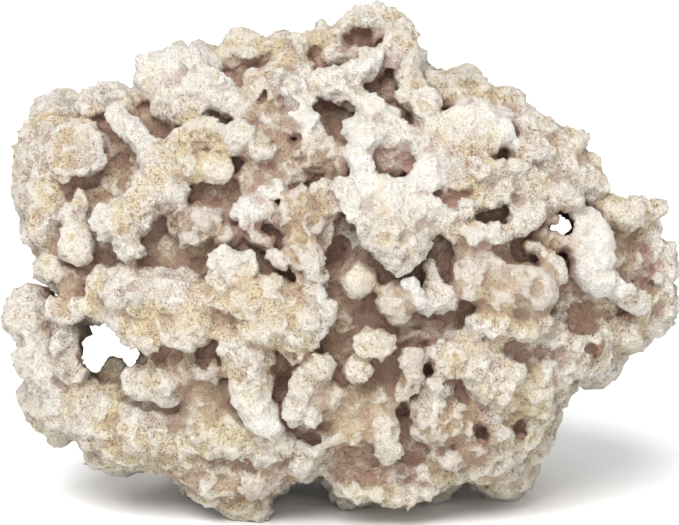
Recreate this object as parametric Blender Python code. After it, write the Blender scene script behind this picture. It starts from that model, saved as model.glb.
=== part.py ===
"""Dry reef rock: one solid of lumps, ledges, arches and caves grown together, standing on its own feet.

Places on the face are columns and rows of the 679 x 525 photograph. A form stands on a domed face, and its
stand is how far it comes out in front of that dome (or stays behind it, below 0). Units are metres.
"""
import math
import random

import bmesh
import bpy
import numpy
from mathutils import Matrix, Vector

# Driving dimensions
WIDTH = 0.300  # across the rock, from the left arm to the right rim
DEPTH = 0.180  # front to back, over the two domes
LOOK_DOWN = math.radians(10)  # the photograph looks down on the rock by this much
EYE_DISTANCE = 1.5  # from the photograph's eye to the middle of the rock
GROUND = -0.1052  # the surface that the feet stand on, below the middle of the photograph

# The photograph
FRAME_COLUMNS = 679
FRAME_ROWS = 525
ROCK_COLUMNS = 675  # the rock's own width in the photograph
PIXEL = WIDTH / ROCK_COLUMNS

# The domes that the front and the back are built on
DOME_COLUMNS = 350  # half its width
DOME_ROWS = 275  # half its height
DOME_SHARE = 0.93  # of half the depth; the forms that stand on the dome make up the rest
DOME_RISE = DEPTH / 2 / PIXEL * DOME_SHARE  # out from the middle plane, in pixels
DOME_FLOOR = 0.17  # the rise left beyond the dome's edge, as a share

# How finely the solid is worked
VOXEL = 0.0026
FACES = 9800
BEAD_OVERLAP = 0.45  # step between the beads of a form, in radii

# The inside of the rock: column, row, radius, and depth behind the middle plane
CORE = {
    "heart": [(250, 250, 122, 0), (345, 250, 140, 5), (430, 265, 105, 5)],
    "left_flank": [(125, 215, 78, 5), (150, 270, 60, 5)],
    "upper_left": [(190, 140, 62, 10), (235, 130, 74, 5)],
    "upper_right": [(340, 135, 98, 5), (420, 150, 80, 0), (480, 165, 62, 0), (540, 170, 24, 0)],
    "crown": [(382, 77, 45, 0)],
    "right_flank": [(505, 300, 70, 5), (560, 315, 48, 0)],
    "right_end": [(612, 270, 34, 0), (628, 290, 34, 0)],
    "belly": [(290, 370, 100, 10), (410, 375, 95, 10), (480, 380, 62, 10)],
    "lower_left": [(215, 395, 56, 0), (170, 415, 30, 0)],
}

# The skin under the forms, one stretch of a row each: row, first column, last column
BED = [
    (74, 198, 385),
    (98, 165, 455),
    (130, 66, 512),
    (160, 52, 548),
    (190, 48, 566),
    (218, 57, 520),
    (230, 592, 625),
    (246, 64, 522),
    (262, 580, 640),
    (274, 78, 540),
    (296, 95, 640),
    (322, 165, 620),
    (350, 172, 588),
    (380, 176, 540),
    (410, 70, 524),
    (432, 110, 520),
    (456, 200, 500),
    (464, 228, 262),
    (468, 356, 428),
]
BED_RADIUS = 26
BED_STAND = -25
BED_STEP = 22
RIM_RADIUS = 30  # of the balls that close the skin's ends, between the front and the back
RIM_DEPTHS = (-36, 0, 36)
RIM_SHARES = 0.7, 1.05  # least and largest radius of theirs, against RIM_RADIUS
RIM_STRAY = 16  # how far they stray in depth
STRAY = 9  # how far places on the back and the sides stray, where no form hides the rows

# The forms of the front: column, row, radius, stand
MASSES = {
    "shoulder": [
        (30, 156, 17, 2), (44, 143, 18, 6), (62, 137, 17, 9), (82, 138, 16, 9), (99, 146, 14, 8),
    ],
    "shoulder_edge": [(48, 156, 19, 8), (68, 156, 19, 10), (86, 157, 17, 9)],
    "shoulder_hem": [
        (24, 169, 10, 0), (40, 170, 9, 7), (56, 174, 8, 8), (73, 169, 9, 9), (89, 172, 8, 8),
        (103, 161, 9, 8),
    ],
    "shoulder_cap": [(46, 121, 12, 0), (62, 119, 11, 0)],
    "left_ledge": [(92, 106, 14, 2), (110, 103, 16, 2), (126, 106, 15, 2)],
    "white_boulder": [(157, 80, 25, 6), (180, 72, 27, 10), (202, 71, 22, 10)],
    "white_slope": [(205, 86, 19, 12), (222, 97, 16, 8), (236, 106, 12, 3)],
    "slope_foot": [(176, 104, 22, 6), (194, 114, 15, 6)],
    "slope_fill": [(256, 86, 14, 3), (264, 102, 12, 2), (260, 118, 12, 0), (246, 120, 12, 4)],
    "top_knob": [(232, 52, 18, 4), (248, 50, 16, 2)],
    "knob_step": [(272, 50, 13, -4), (284, 48, 12, -6)],
    "shelf": [
        (188, 140, 14, 10), (208, 137, 13, 12), (232, 140, 14, 12), (256, 147, 14, 10),
        (268, 150, 10, 6),
    ],
    "column_head": [(146, 156, 13, 12), (162, 158, 17, 16), (178, 152, 15, 14)],
    "column": [
        (160, 172, 22, 20), (158, 192, 22, 20), (142, 208, 20, 20), (128, 221, 19, 20),
        (130, 238, 16, 18),
    ],
    "column_bulge": [(176, 196, 13, 12)],
    "yellow_root": [(198, 158, 13, 2), (196, 172, 12, 0)],
    "column_knob_high": [(131, 203, 13, 18)],
    "column_knob_mid": [(110, 222, 12, 20), (108, 232, 10, 18)],
    "column_tip": [(126, 248, 12, 14), (142, 252, 10, 12)],
    "left_wall": [(33, 190, 20, -2), (54, 205, 28, -2), (50, 226, 20, -2)],
    "left_wall_knobs": [(88, 198, 10, -8), (78, 212, 12, -4)],
    "white_egg": [(76, 240, 19, 10), (82, 254, 15, 10)],
    "left_nodule": [(46, 268, 13, 2), (58, 274, 10, 0)],
    "left_hollow_wall": [(78, 286, 22, -14)],
    "arm_knuckle": [(29, 318, 28, 0), (34, 312, 24, 4)],
    "arm_neck": [(58, 312, 14, 2), (74, 312, 12, 4), (90, 306, 12, 6)],
    "arm_shank": [(40, 344, 25, 0), (52, 362, 27, 0), (58, 382, 28, 0)],
    "arm_inner": [(64, 326, 15, 0), (69, 342, 14, -2), (71, 358, 14, -2), (76, 372, 13, 0)],
    "lower_lobe": [(45, 402, 27, 2), (62, 406, 28, 2), (84, 396, 24, 4)],
    "lobe_drip": [(61, 430, 10, -4)],
    "lower_arm": [(92, 410, 30, 6), (118, 424, 36, 6), (150, 424, 34, 6)],
    "lower_arm_corner": [(104, 452, 18, 0), (112, 446, 20, 2)],
    "arch_block": [(138, 382, 16, 8), (156, 380, 21, 12), (176, 384, 19, 8)],
    "slope": [
        (104, 284, 17, 6), (122, 288, 22, 10), (150, 296, 26, 14), (180, 300, 26, 14),
        (198, 302, 20, 12),
    ],
    "slope_low": [(112, 312, 17, 8), (134, 326, 20, 10), (158, 328, 22, 12), (186, 330, 20, 10)],
    "node_ring": [(140, 336, 10, 14), (149, 332, 9, 16), (158, 338, 10, 16), (150, 345, 9, 14)],
    "slope_hem": [(196, 322, 18, 12), (206, 334, 12, 10)],
    "white_block": [(226, 262, 14, 14), (247, 263, 14, 14), (238, 276, 14, 12)],
    "block_foot": [(216, 288, 15, 10), (224, 304, 17, 12)],
    "big_lump": [(256, 300, 26, 20), (276, 296, 24, 16), (262, 322, 24, 18)],
    "big_lump_side": [(300, 310, 20, 10), (304, 330, 18, 8), (296, 346, 14, 4)],
    "left_post": [(246, 344, 26, 16), (252, 366, 24, 14), (250, 384, 20, 12)],
    "tongue": [(250, 398, 18, 14), (262, 414, 18, 14), (270, 426, 12, 12)],
    "lower_left_face": [(206, 428, 28, 2), (236, 436, 26, 2), (264, 440, 22, 2), (286, 440, 14, 2)],
    "concave_back": [(204, 400, 34, -10)],
    "brown_step": [(164, 358, 17, -6), (182, 366, 15, -4), (198, 374, 13, -2), (212, 374, 12, 0)],
    "saddle_leg": [(300, 96, 16, 14), (304, 112, 15, 14), (308, 126, 11, 10)],
    "saddle": [
        (310, 84, 14, 16), (334, 84, 15, 16), (356, 78, 15, 14), (376, 64, 13, 10), (382, 54, 10, 8),
    ],
    "saddle_side": [(352, 98, 15, 10), (344, 90, 14, 10)],
    "saddle_nub": [(308, 73, 7, 12)],
    "leg_knob": [(314, 140, 11, 2)],
    "rough_slope": [(288, 64, 15, 0), (284, 82, 13, 2)],
    "upper_fill": [(276, 112, 24, -9), (300, 74, 20, -6), (292, 176, 24, -10), (262, 196, 22, -8)],
    "crest_nub": [(302, 46, 11, 4), (298, 58, 10, 4)],
    "crest_bits": [(319, 40, 13, 2), (335, 38, 12, 2), (333, 56, 11, -2)],
    "crest_roof": [
        (344, 29, 13, 2), (358, 21, 13, 4), (374, 16, 13, 4), (390, 23, 11, 4), (402, 27, 11, 4),
    ],
    "crest_roof_low": [(350, 30, 8, 0), (364, 27, 9, 2), (378, 28, 8, 2)],
    "mast_edge": [(391, 36, 8, 4), (390, 48, 8, 4)],
    "crest_floor": [(352, 62, 14, -10), (366, 42, 18, -24), (384, 44, 14, -20)],
    "roof_tongue": [(366, 56, 11, 2), (376, 60, 9, 2)],
    "mast": [
        (404, 30, 13, 8), (404, 50, 13, 12), (405, 72, 14, 14), (413, 94, 14, 14), (424, 116, 12, 10),
    ],
    "mast_foot": [(434, 128, 11, 10)],
    "mast_side": [(428, 80, 10, -6)],
    "brown_lumps": [(268, 122, 15, 0), (282, 132, 13, 4)],
    "below_shelf": [(254, 168, 15, -6), (268, 176, 14, -6), (246, 186, 13, -8)],
    "bright_knob": [(272, 192, 10, 2)],
    "star": [(256, 208, 15, 2), (242, 214, 12, 0), (268, 214, 11, 2)],
    "leg_root": [(300, 156, 15, -4), (318, 162, 15, -4), (338, 152, 15, -2), (344, 170, 13, -2)],
    "knob_high": [(300, 200, 13, 6)],
    "stub": [(324, 188, 12, 4), (328, 208, 13, 4)],
    "white_stub": [(348, 192, 10, 12), (354, 206, 12, 14), (362, 220, 10, 12)],
    "post": [
        (292, 214, 17, 4), (306, 224, 22, 8), (318, 232, 15, 6), (300, 244, 18, 10), (312, 258, 17, 14),
    ],
    "post_foot": [(312, 276, 14, 10), (318, 292, 16, 8), (322, 308, 13, 6)],
    "hanging_lump": [(186, 224, 17, -2), (206, 222, 18, 2), (196, 240, 14, 2), (194, 252, 6, 0)],
    "sheet_left": [
        (372, 112, 13, 12), (366, 132, 13, 16), (362, 152, 12, 20), (362, 172, 12, 22),
        (372, 190, 14, 24),
    ],
    "sheet_top": [(372, 112, 13, 12), (388, 124, 14, 14), (404, 138, 13, 14), (416, 150, 12, 14)],
    "sheet_low": [(384, 192, 17, 26), (402, 192, 18, 24), (422, 184, 18, 20), (430, 166, 14, 14)],
    "sheet_neck": [(384, 210, 20, 26), (408, 212, 20, 24), (430, 208, 14, 18)],
    "sheet_lobe": [(380, 232, 22, 28), (404, 234, 24, 30), (392, 248, 22, 28), (416, 240, 18, 24)],
    "sheet_nub": [(347, 132, 8, 14), (355, 128, 8, 14)],
    "eye_floor": [(384, 162, 15, 2), (401, 161, 15, 2)],
    "eye_brow": [(384, 132, 12, 14), (397, 140, 13, 12)],
    "pale_slab": [(448, 132, 18, 14), (466, 126, 20, 16), (486, 126, 18, 14), (498, 138, 14, 12)],
    "pale_slab_low": [(446, 152, 18, 14), (468, 150, 20, 16), (486, 152, 14, 12)],
    "crest_saddle": [(444, 92, 14, -4), (456, 92, 12, -2), (463, 103, 12, 4), (500, 112, 18, -6)],
    "crest_dot": [(480, 86, 11, 2), (484, 94, 12, 2)],
    "notched_lump": [(500, 98, 13, 2), (514, 97, 12, 2), (520, 108, 12, 2)],
    "inner_nodule": [(427, 116, 12, 8)],
    "right_plateau": [
        (522, 124, 18, 4), (536, 136, 18, 4), (556, 142, 16, 2), (570, 152, 16, 0), (588, 168, 15, -2),
    ],
    "plateau_face": [(520, 152, 18, 10), (544, 162, 20, 8), (566, 174, 20, 4), (590, 186, 16, 0)],
    "slab_lip": [(438, 172, 14, 16), (456, 176, 13, 18), (474, 176, 12, 16), (490, 170, 12, 14)],
    "second_lip": [(506, 174, 14, 12), (524, 186, 15, 12), (546, 194, 15, 10), (566, 196, 13, 6)],
    "triangle_floor": [(438, 194, 14, 2), (456, 196, 14, 2)],
    "strut": [
        (440, 226, 12, 12), (452, 218, 11, 14), (466, 208, 10, 14), (482, 200, 11, 12),
        (500, 194, 12, 10),
    ],
    "long_lip": [
        (446, 230, 11, 14), (466, 233, 11, 16), (490, 236, 11, 16), (512, 232, 11, 14),
        (526, 220, 11, 12),
    ],
    "lip_knob": [(520, 214, 12, 12), (536, 210, 10, 8)],
    "brown_block": [(540, 240, 13, -8), (556, 242, 13, -8)],
    "right_boulder": [(584, 228, 20, 10), (590, 248, 24, 14), (590, 270, 20, 14), (604, 284, 14, 12)],
    "boulder_hem": [(616, 292, 9, 10), (630, 298, 9, 8), (644, 306, 9, 4)],
    "right_knobs": [(610, 210, 12, 0), (628, 218, 15, 2), (646, 213, 11, -4), (656, 210, 9, -4)],
    "right_rim": [
        (650, 236, 11, -2), (660, 254, 14, -2), (660, 274, 14, 0), (656, 292, 13, 0),
        (652, 310, 14, -4),
    ],
    "right_skirt": [(636, 322, 18, -2), (620, 334, 16, -4), (648, 324, 14, -6)],
    "cup_back": [(632, 264, 26, -26)],
    "smooth_face": [
        (474, 258, 22, 10), (478, 280, 24, 18), (502, 288, 26, 20), (530, 288, 24, 18),
        (546, 294, 16, 14),
    ],
    "smooth_top": [(466, 246, 14, 8), (496, 262, 20, 4)],
    "under_ledge": [(478, 322, 13, 12), (498, 328, 14, 14), (522, 330, 14, 14), (544, 324, 10, 12)],
    "cave_ledge": [(566, 336, 14, -2), (588, 334, 14, -4), (604, 338, 14, -4)],
    "lower_right": [(570, 360, 18, -4), (598, 352, 15, -6), (552, 376, 17, -2), (574, 370, 12, -6)],
    "right_slab": [
        (452, 352, 22, 6), (478, 364, 24, 10), (504, 382, 26, 12), (526, 390, 22, 10),
        (538, 400, 14, 6),
    ],
    "slab_nub": [(526, 362, 9, -6), (540, 356, 9, -8)],
    "slab_left": [(440, 380, 14, 4), (432, 396, 12, 2)],
    "low_right_mass": [(430, 420, 20, 10), (452, 424, 22, 12), (446, 446, 22, 10), (470, 440, 20, 8)],
    "low_right_side": [(496, 424, 18, 4), (508, 442, 18, 2), (532, 424, 15, 0), (536, 410, 12, 0)],
    "low_right_hem": [(430, 468, 16, 2), (456, 470, 14, 0), (484, 456, 16, 0), (508, 452, 14, -2)],
    "lower_right_fill": [
        (466, 398, 30, -3), (500, 418, 32, -4), (452, 436, 30, 0), (488, 448, 28, -4),
        (530, 368, 26, -6),
    ],
    "cave_fill": [(560, 352, 24, -8), (590, 336, 20, -8), (470, 340, 22, -4)],
    "bottom_ledge": [
        (346, 486, 12, 0), (366, 488, 13, 4), (386, 490, 14, 6), (406, 488, 15, 6), (428, 482, 14, 2),
    ],
    "ledge_back": [(350, 470, 12, -14), (380, 470, 14, -16), (410, 466, 14, -14)],
    "lower_ridge": [
        (186, 470, 14, 0), (206, 474, 16, 0), (230, 478, 18, 2), (256, 474, 20, 4), (280, 468, 18, 2),
    ],
    "lower_left_fill": [(184, 436, 32, -5), (226, 424, 30, -6), (262, 446, 26, -5), (150, 452, 22, -4)],
    "ridge_rise": [(296, 462, 16, 4), (310, 450, 14, 4), (322, 442, 12, 2)],
    "left_step": [(176, 456, 14, -2), (196, 482, 11, -4), (212, 486, 10, -4)],
    "front_foot": [(236, 499, 20, 0), (252, 501, 21, 2)],
    "middle_post": [(318, 366, 14, 8), (308, 384, 16, 10), (302, 402, 16, 10)],
    "post_knob": [(298, 410, 12, 14), (310, 408, 11, 14)],
    "panel": [
        (322, 388, 14, -2), (328, 404, 17, -3), (346, 404, 24, -6), (366, 398, 20, -10),
        (340, 424, 17, -4), (364, 426, 17, -6), (386, 390, 14, -12),
    ],
    "panel_hem": [(336, 438, 8, 0), (352, 440, 8, 0), (370, 442, 8, 0)],
}

# Spaces cut into the masses: column, row, radius, and where the cut's middle stands
HOLLOWS = {
    "eye": [(379, 164, 8, 12), (392, 167, 9, 11), (404, 166, 8, 9), (409, 163, 6, 2)],
    "crest_slot": [(354, 37, 7, 0), (363, 42, 7, -3), (360, 41, 9, -14)],
    "shelf_slot": [(208, 119, 5, 4), (220, 123, 6, 2), (234, 128, 5, 4), (220, 124, 7, -14)],
    "saddle_cave": [(338, 118, 10, 0), (328, 127, 10, -6), (352, 108, 8, 0), (334, 122, 12, -20)],
    "mast_slit": [(388, 52, 3, 8), (386, 67, 3, 8), (384, 82, 4, 6), (388, 97, 3, 8)],
    "slope_slit": [(262, 102, 5, 2), (266, 92, 4, 0)],
    "leg_slit": [(293, 126, 4, 4), (295, 142, 5, -4), (295, 138, 6, -20)],
    "left_cleft": [
        (120, 140, 8, 2), (124, 158, 12, -6), (126, 178, 12, -10), (124, 164, 12, -24),
        (118, 186, 10, -14),
    ],
    "finger_pit": [(158, 124, 8, 0), (162, 138, 7, -4), (160, 142, 7, -18)],
    "under_shoulder": [(92, 190, 7, -2), (108, 182, 9, -8), (104, 210, 7, -10)],
    "column_pit": [(114, 213, 5, -4)],
    "tip_pit": [(103, 238, 6, -4), (108, 248, 6, -8)],
    "left_hollow": [(80, 284, 13, 8), (84, 272, 10, 2)],
    "left_undercut": [(70, 262, 5, 4)],
    "shade": [(160, 262, 17, 2), (186, 266, 14, -4), (206, 256, 14, -8), (214, 244, 10, -14)],
    "column_side": [(170, 222, 9, 4), (162, 240, 11, 4)],
    "yellow_recess": [(190, 202, 9, -6), (206, 201, 11, -6), (222, 199, 10, -6), (235, 186, 8, -4)],
    "star_pit": [(279, 201, 4, 0), (279, 201, 4, -14)],
    "stem_pit": [(304, 178, 6, -6), (312, 186, 5, -8)],
    "stub_pit": [(332, 174, 6, -2), (334, 176, 5, -14)],
    "main_cave": [(332, 232, 9, 4), (338, 246, 14, 0), (334, 262, 10, -2), (338, 248, 16, -34)],
    "egg_cave": [(322, 286, 9, -4), (340, 296, 14, -14), (356, 310, 18, -16), (380, 322, 16, -16)],
    "centre_cave": [(338, 330, 12, -14), (356, 322, 16, -16), (392, 338, 15, -16), (420, 330, 14, -10)],
    "cave_end": [(440, 326, 11, -6), (448, 332, 9, -4)],
    "lobe_shade": [(424, 262, 9, 0), (436, 248, 11, 0), (444, 262, 12, -8), (440, 284, 11, -8)],
    "under_lobe": [(402, 278, 8, -10), (384, 278, 8, -14)],
    "triangle": [(437, 197, 8, 9), (450, 200, 9, 9), (465, 193, 6, 10)],
    "lip_hole": [(484, 219, 6, 8), (498, 215, 7, 8), (490, 218, 7, -6)],
    "slab_slot": [(494, 162, 6, 6), (502, 152, 5, 6), (498, 157, 6, -8)],
    "brow": [(500, 250, 10, 6), (520, 252, 13, 2), (536, 258, 9, 6)],
    "window_recess": [(532, 246, 12, 2), (546, 238, 12, 2), (540, 256, 10, -2)],
    "cup": [(630, 248, 13, 8), (632, 268, 18, 10), (640, 284, 11, 8)],
    "side_cave": [(568, 305, 14, 2), (587, 311, 16, -1), (606, 313, 13, 2), (586, 312, 18, -16)],
    "slab_recess": [(508, 350, 10, 8), (524, 352, 12, 0), (544, 352, 11, 0), (520, 366, 8, -2)],
    "ledge_slot": [(586, 352, 5, 2), (602, 348, 5, 0)],
    "right_pit": [(648, 304, 5, 4)],
    "ring_hole": [
        (449, 382, 7, 2), (459, 381, 8, -4), (466, 390, 8, -6), (462, 398, 8, -8), (460, 389, 9, -15),
    ],
    "low_hole": [(476, 427, 5, 4), (482, 432, 7, 2), (480, 434, 6, -10)],
    "low_hole_right": [(514, 427, 6, 4), (521, 422, 6, 2), (519, 428, 6, -8)],
    "low_slit": [(440, 452, 4, 10), (446, 448, 4, 10), (452, 444, 3, 8)],
    "low_pit": [(456, 466, 5, 6), (463, 469, 5, 6)],
    "centre_pit": [(401, 404, 9, -4), (405, 422, 7, -2), (402, 414, 11, -18)],
    "panel_gap": [(364, 444, 6, 0), (373, 452, 7, 0)],
    "shadow_gap": [(386, 362, 10, -6), (398, 374, 9, -10), (393, 392, 9, -8), (426, 356, 6, 0)],
    "small_arch": [(337, 372, 7, 2), (338, 372, 7, -14)],
    "post_cave": [(278, 368, 8, 2), (284, 384, 8, -2), (284, 398, 8, -2), (282, 386, 11, -26)],
    "side_fold": [(292, 356, 9, 0)],
    "bottom_cave": [(304, 432, 8, 4), (314, 438, 8, 0), (308, 434, 9, -16)],
    "ledge_cave": [(340, 450, 9, 0), (360, 456, 10, -2), (384, 458, 8, 0), (346, 452, 10, -18)],
    "ledge_shelf": [(376, 466, 10, 6), (400, 466, 9, 6)],
    "concave": [(186, 402, 15, 8), (202, 401, 18, 6), (218, 400, 13, 8)],
    "step_shade": [(152, 354, 9, 4), (170, 353, 10, 2), (187, 355, 9, 2)],
    "post_pit": [(199, 350, 8, 2), (211, 354, 8, 2), (206, 360, 7, -6), (206, 354, 9, -14)],
    "small_pit": [(207, 320, 4, 12)],
    "ridge_shade": [(212, 462, 9, 2), (232, 464, 8, 4), (254, 468, 6, 8)],
    "recess_top": [(432, 92, 8, 4), (428, 102, 9, 0)],
    "bottom_notch": [(320, 494, 22, -4), (304, 508, 20, 0)],
}

# Ways right through the rock, from front to back: column, row, radius
THROUGH = {
    "left_arch": [
        (92, 344, 8), (92, 358, 9), (106, 346, 15), (120, 358, 10), (130, 358, 9), (138, 354, 7),
    ],
    "right_window": [(549, 225, 7), (557, 221, 10), (565, 225, 9)],
}
THROUGH_FLARE = 1.4  # how much wider they are at the back
THROUGH_REACH = 1.3  # how far they run each way from the middle plane, against the dome's rise

# Forms that stand free in the hollows: column, row, radius, stand
KNOBS = {
    "finger": [(120, 119, 12, 12), (132, 131, 13, 14), (144, 144, 12, 14)],
    "yellow_nodule": [(213, 168, 14, 7), (221, 172, 13, 7)],
    "brown_egg": [(230, 238, 12, -8)],
    "brown_chip": [(254, 236, 9, -6), (266, 244, 9, -6)],
    "bright_chip": [(274, 256, 8, 6), (282, 262, 6, 8)],
    "egg": [(362, 278, 16, 4), (356, 284, 16, 4)],
    "hung_nodule": [(394, 300, 18, 8), (398, 310, 14, 8)],
    "white_finger": [(410, 284, 7, 14), (416, 296, 8, 14), (420, 304, 7, 12)],
    "nodule_root": [(430, 302, 12, 4), (444, 300, 12, 6)],
    "pillar": [(428, 262, 6, 0), (430, 276, 7, 0), (434, 290, 8, 2)],
    "cave_swelling": [(396, 340, 9, -22), (416, 338, 9, -20), (432, 336, 8, -16)],
    "ragged_knob": [(368, 344, 14, 6), (380, 346, 13, 8)],
    "round_knob": [(358, 368, 13, 6)],
    "hung_knob": [(413, 360, 12, 12), (411, 376, 11, 12)],
    "hung_tip": [(404, 388, 7, 10), (400, 396, 5, 8)],
    "dot": [(431, 353, 7, 4)],
    "gap_lump": [(415, 402, 9, -2)],
    "pale_nodule": [(382, 422, 14, 8), (386, 442, 13, 8), (388, 454, 10, 4)],
    "light_strip": [(528, 246, 7, 6), (540, 252, 7, 4), (550, 264, 8, 6), (558, 276, 8, 8)],
    "pale_window_edge": [(547, 220, 8, -12)],
    "arch_tooth": [(118, 364, 7, -70), (114, 374, 12, -66), (122, 380, 10, -60)],
    "right_foot": [(484, 476, 12, -60), (500, 474, 14, -66), (514, 470, 11, -60)],
}

# The back, standing on its own dome: column, row, radius, stand
BACK_MASSES = {
    "back_shoulder": [(110, 190, 40, 0), (150, 150, 36, 4)],
    "back_crown": [(300, 90, 38, 4), (350, 100, 40, 8), (400, 90, 30, 0)],
    "back_ridge": [(190, 260, 38, 10), (240, 220, 42, 14), (310, 200, 44, 16), (390, 210, 40, 10)],
    "back_right": [(470, 200, 38, 6), (520, 240, 36, 4), (560, 290, 30, 0), (500, 330, 34, 4)],
    "back_boss": [(320, 300, 40, 18), (370, 310, 36, 16)],
    "back_left_low": [(180, 350, 36, 2), (220, 400, 34, 2)],
    "back_skirt": [(290, 390, 38, 8), (360, 400, 40, 10), (430, 390, 36, 4)],
    "back_arm": [(60, 330, 22, -10), (60, 390, 26, -10), (110, 426, 24, -10)],
}
BACK_HOLLOWS = {
    "back_cave": [(270, 290, 18, 0), (262, 310, 16, -8)],
    "back_slot": [(330, 250, 12, 6), (352, 258, 13, 0), (376, 262, 11, 4)],
    "back_bowl": [(440, 280, 22, 8), (452, 296, 16, 0)],
    "back_pit_high": [(250, 150, 14, 4), (262, 160, 10, -6)],
    "back_pit_right": [(450, 150, 13, 2)],
    "back_pit_low": [(310, 350, 13, 6), (322, 360, 10, -4)],
    "back_pit_left": [(170, 300, 14, 2)],
}

# Feet that carry the back: column, row, radius, and depth behind the middle plane
FEET = {
    "back_left_foot": [(200, 436, 34, 80), (198, 456, 28, 100), (197, 467, 24, 108)],
    "back_right_foot": [(452, 430, 34, 80), (458, 452, 28, 95), (460, 464, 24, 100)],
    "middle_foot": [(384, 480, 20, 10), (384, 494, 15, 0)],
}

# Lumps strewn over the skin: how many, and their least and largest radius
FRONT_NODULES = 420, (6, 12)
BACK_NODULES = 420, (9, 20)
NODULE_LEAN = 1.6  # how far their places lean outwards
NODULE_SINK = 0.3  # how deep they sit, in their own radii
SEED = 7

# How far a form's balls stray and how much their sizes vary, in their own radii
WOBBLE = 0.09
SWELL = 0.12

# How far the knobs' stems reach back into the rock, and the roughness over everything
STEM = 46
STEM_SHARE = 0.6  # a stem's radius at its end, against its knob's
LUMP_SIZE = 0.013
LUMP_HEIGHT = 0.0028
SWELL_SIZE = 0.03
SWELL_HEIGHT = 0.005
RIDGE_SIZE = 0.008
RIDGE_HEIGHT = 0.003
RIDGE_STRENGTH = 0.5
RIDGE_LEVEL = 0.36  # the ridges' mean, which stays where it is
BACK_COARSENESS = 0.1  # how much the shares below bear on the thinning
LEAST_THINNING = 0.3  # share on the face
MIDDLE_THINNING = 0.65  # share on the middle plane
THINNING_RISE = 4  # how fast it goes from the one to the next, towards the back


def dome(column, row):
    """How far the domed face stands out from the middle plane, in pixels."""
    across = (column - FRAME_COLUMNS / 2) / DOME_COLUMNS
    up = (row - FRAME_ROWS / 2) / DOME_ROWS
    return DOME_RISE * max(DOME_FLOOR, math.sqrt(max(0, 1 - across * across - up * up)))


def place(column, row, depth):
    """The point seen at a pixel, depth pixels behind the middle plane, before the rock is tilted."""
    depth *= PIXEL
    spread = PIXEL * (1 + depth / EYE_DISTANCE)
    across = (column - FRAME_COLUMNS / 2) * spread
    up = (FRAME_ROWS / 2 - row) * spread
    return Vector((across, depth, up))


def on_front(column, row, radius, stand):
    """A ball whose front stands on the front dome."""
    return place(column, row, radius - dome(column, row) - stand), radius * PIXEL


def cut_front(column, row, radius, stand):
    """A ball whose middle stands on the front dome."""
    return place(column, row, -dome(column, row) - stand), radius * PIXEL


def on_back(column, row, radius, stand):
    """A ball whose back stands on the back dome."""
    return place(column, row, dome(column, row) + stand - radius), radius * PIXEL


def cut_back(column, row, radius, stand):
    """A ball whose middle stands on the back dome."""
    return place(column, row, dome(column, row) + stand), radius * PIXEL


def at_depth(column, row, radius, depth):
    """A ball at a depth behind the middle plane."""
    return place(column, row, depth), radius * PIXEL


def beads(run, put, chance=None):
    """The balls of one form: its own, and those that fill the way from each to the next."""
    balls = [put(*knot) for knot in run]
    filled = balls[:1]
    for (start, small), (end, large) in zip(balls, balls[1:]):
        step = BEAD_OVERLAP * min(small, large)
        count = max(1, math.ceil((end - start).length / step))
        for i in range(1, count + 1):
            share = i / count
            filled.append((start.lerp(end, share), small + (large - small) * share))
    if chance:
        filled = [wobbled(*ball, chance) for ball in filled]
    return filled


def stemmed(table, put):
    """The balls of the knobs, and the stems behind them that join them to the rock."""
    found = all_beads(table, put)
    for run in table.values():
        for column, row, radius, stand in run:
            end = (column, row, radius * STEM_SHARE, stand - STEM)
            found += beads([(column, row, radius, stand), end], put)
    return found


def wobbled(middle, radius, chance):
    """The ball, a little larger or smaller and a little off its place."""
    off = Vector([chance.gauss(0, 1) for _ in range(3)]) * radius * WOBBLE
    return middle + off, radius * chance.uniform(1 - SWELL, 1 + SWELL)


def bed_beads(put, stray=0):
    """The balls of the skin that lies under the forms."""
    chance = random.Random("bed")
    found = []
    for row, first, last in BED:
        count = max(1, round((last - first) / BED_STEP))
        for i in range(count + 1):
            knot = (first + (last - first) * i / count, row, BED_RADIUS, BED_STAND)
            found.append(put(*[value + chance.uniform(-stray, stray) for value in knot]))
    return found


def rim_beads(chance):
    """The balls that close the skin's ends, between the front and the back."""
    straying = random.Random("rim")
    found = []
    for row, first, last in BED:
        for depth in RIM_DEPTHS:
            for column, out in ((first, -1), (last, 1)):
                radius = RIM_RADIUS * straying.uniform(*RIM_SHARES)
                column += out * (RIM_RADIUS - radius)
                height = row + straying.uniform(-STRAY, STRAY)
                deep = depth + straying.uniform(-RIM_STRAY, RIM_STRAY)
                found.append(wobbled(*at_depth(column, height, radius, deep), chance))
    return found


def nodules(balls, count, radius, chance):
    """Small lumps on the skins of the balls given, on the side away from the middle plane."""
    found = []
    while len(found) < count:
        middle, under = chance.choice(balls)
        side = 1 if middle.y > 0 else -1
        out = side * chance.uniform(0, NODULE_LEAN)
        way = Vector((chance.gauss(0, 1), out, chance.gauss(0, 1))).normalized()
        lump = chance.uniform(*radius) * PIXEL
        found.append((middle + way * (under - lump * NODULE_SINK), lump))
    return found


def unit_ball(detail):
    """The corners and faces of a ball of radius 1."""
    work = bmesh.new()
    bmesh.ops.create_icosphere(work, subdivisions=detail, radius=1)
    corners = numpy.array([vert.co for vert in work.verts])
    faces = numpy.array([[vert.index for vert in face.verts] for face in work.faces])
    work.free()
    return corners, faces


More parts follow.
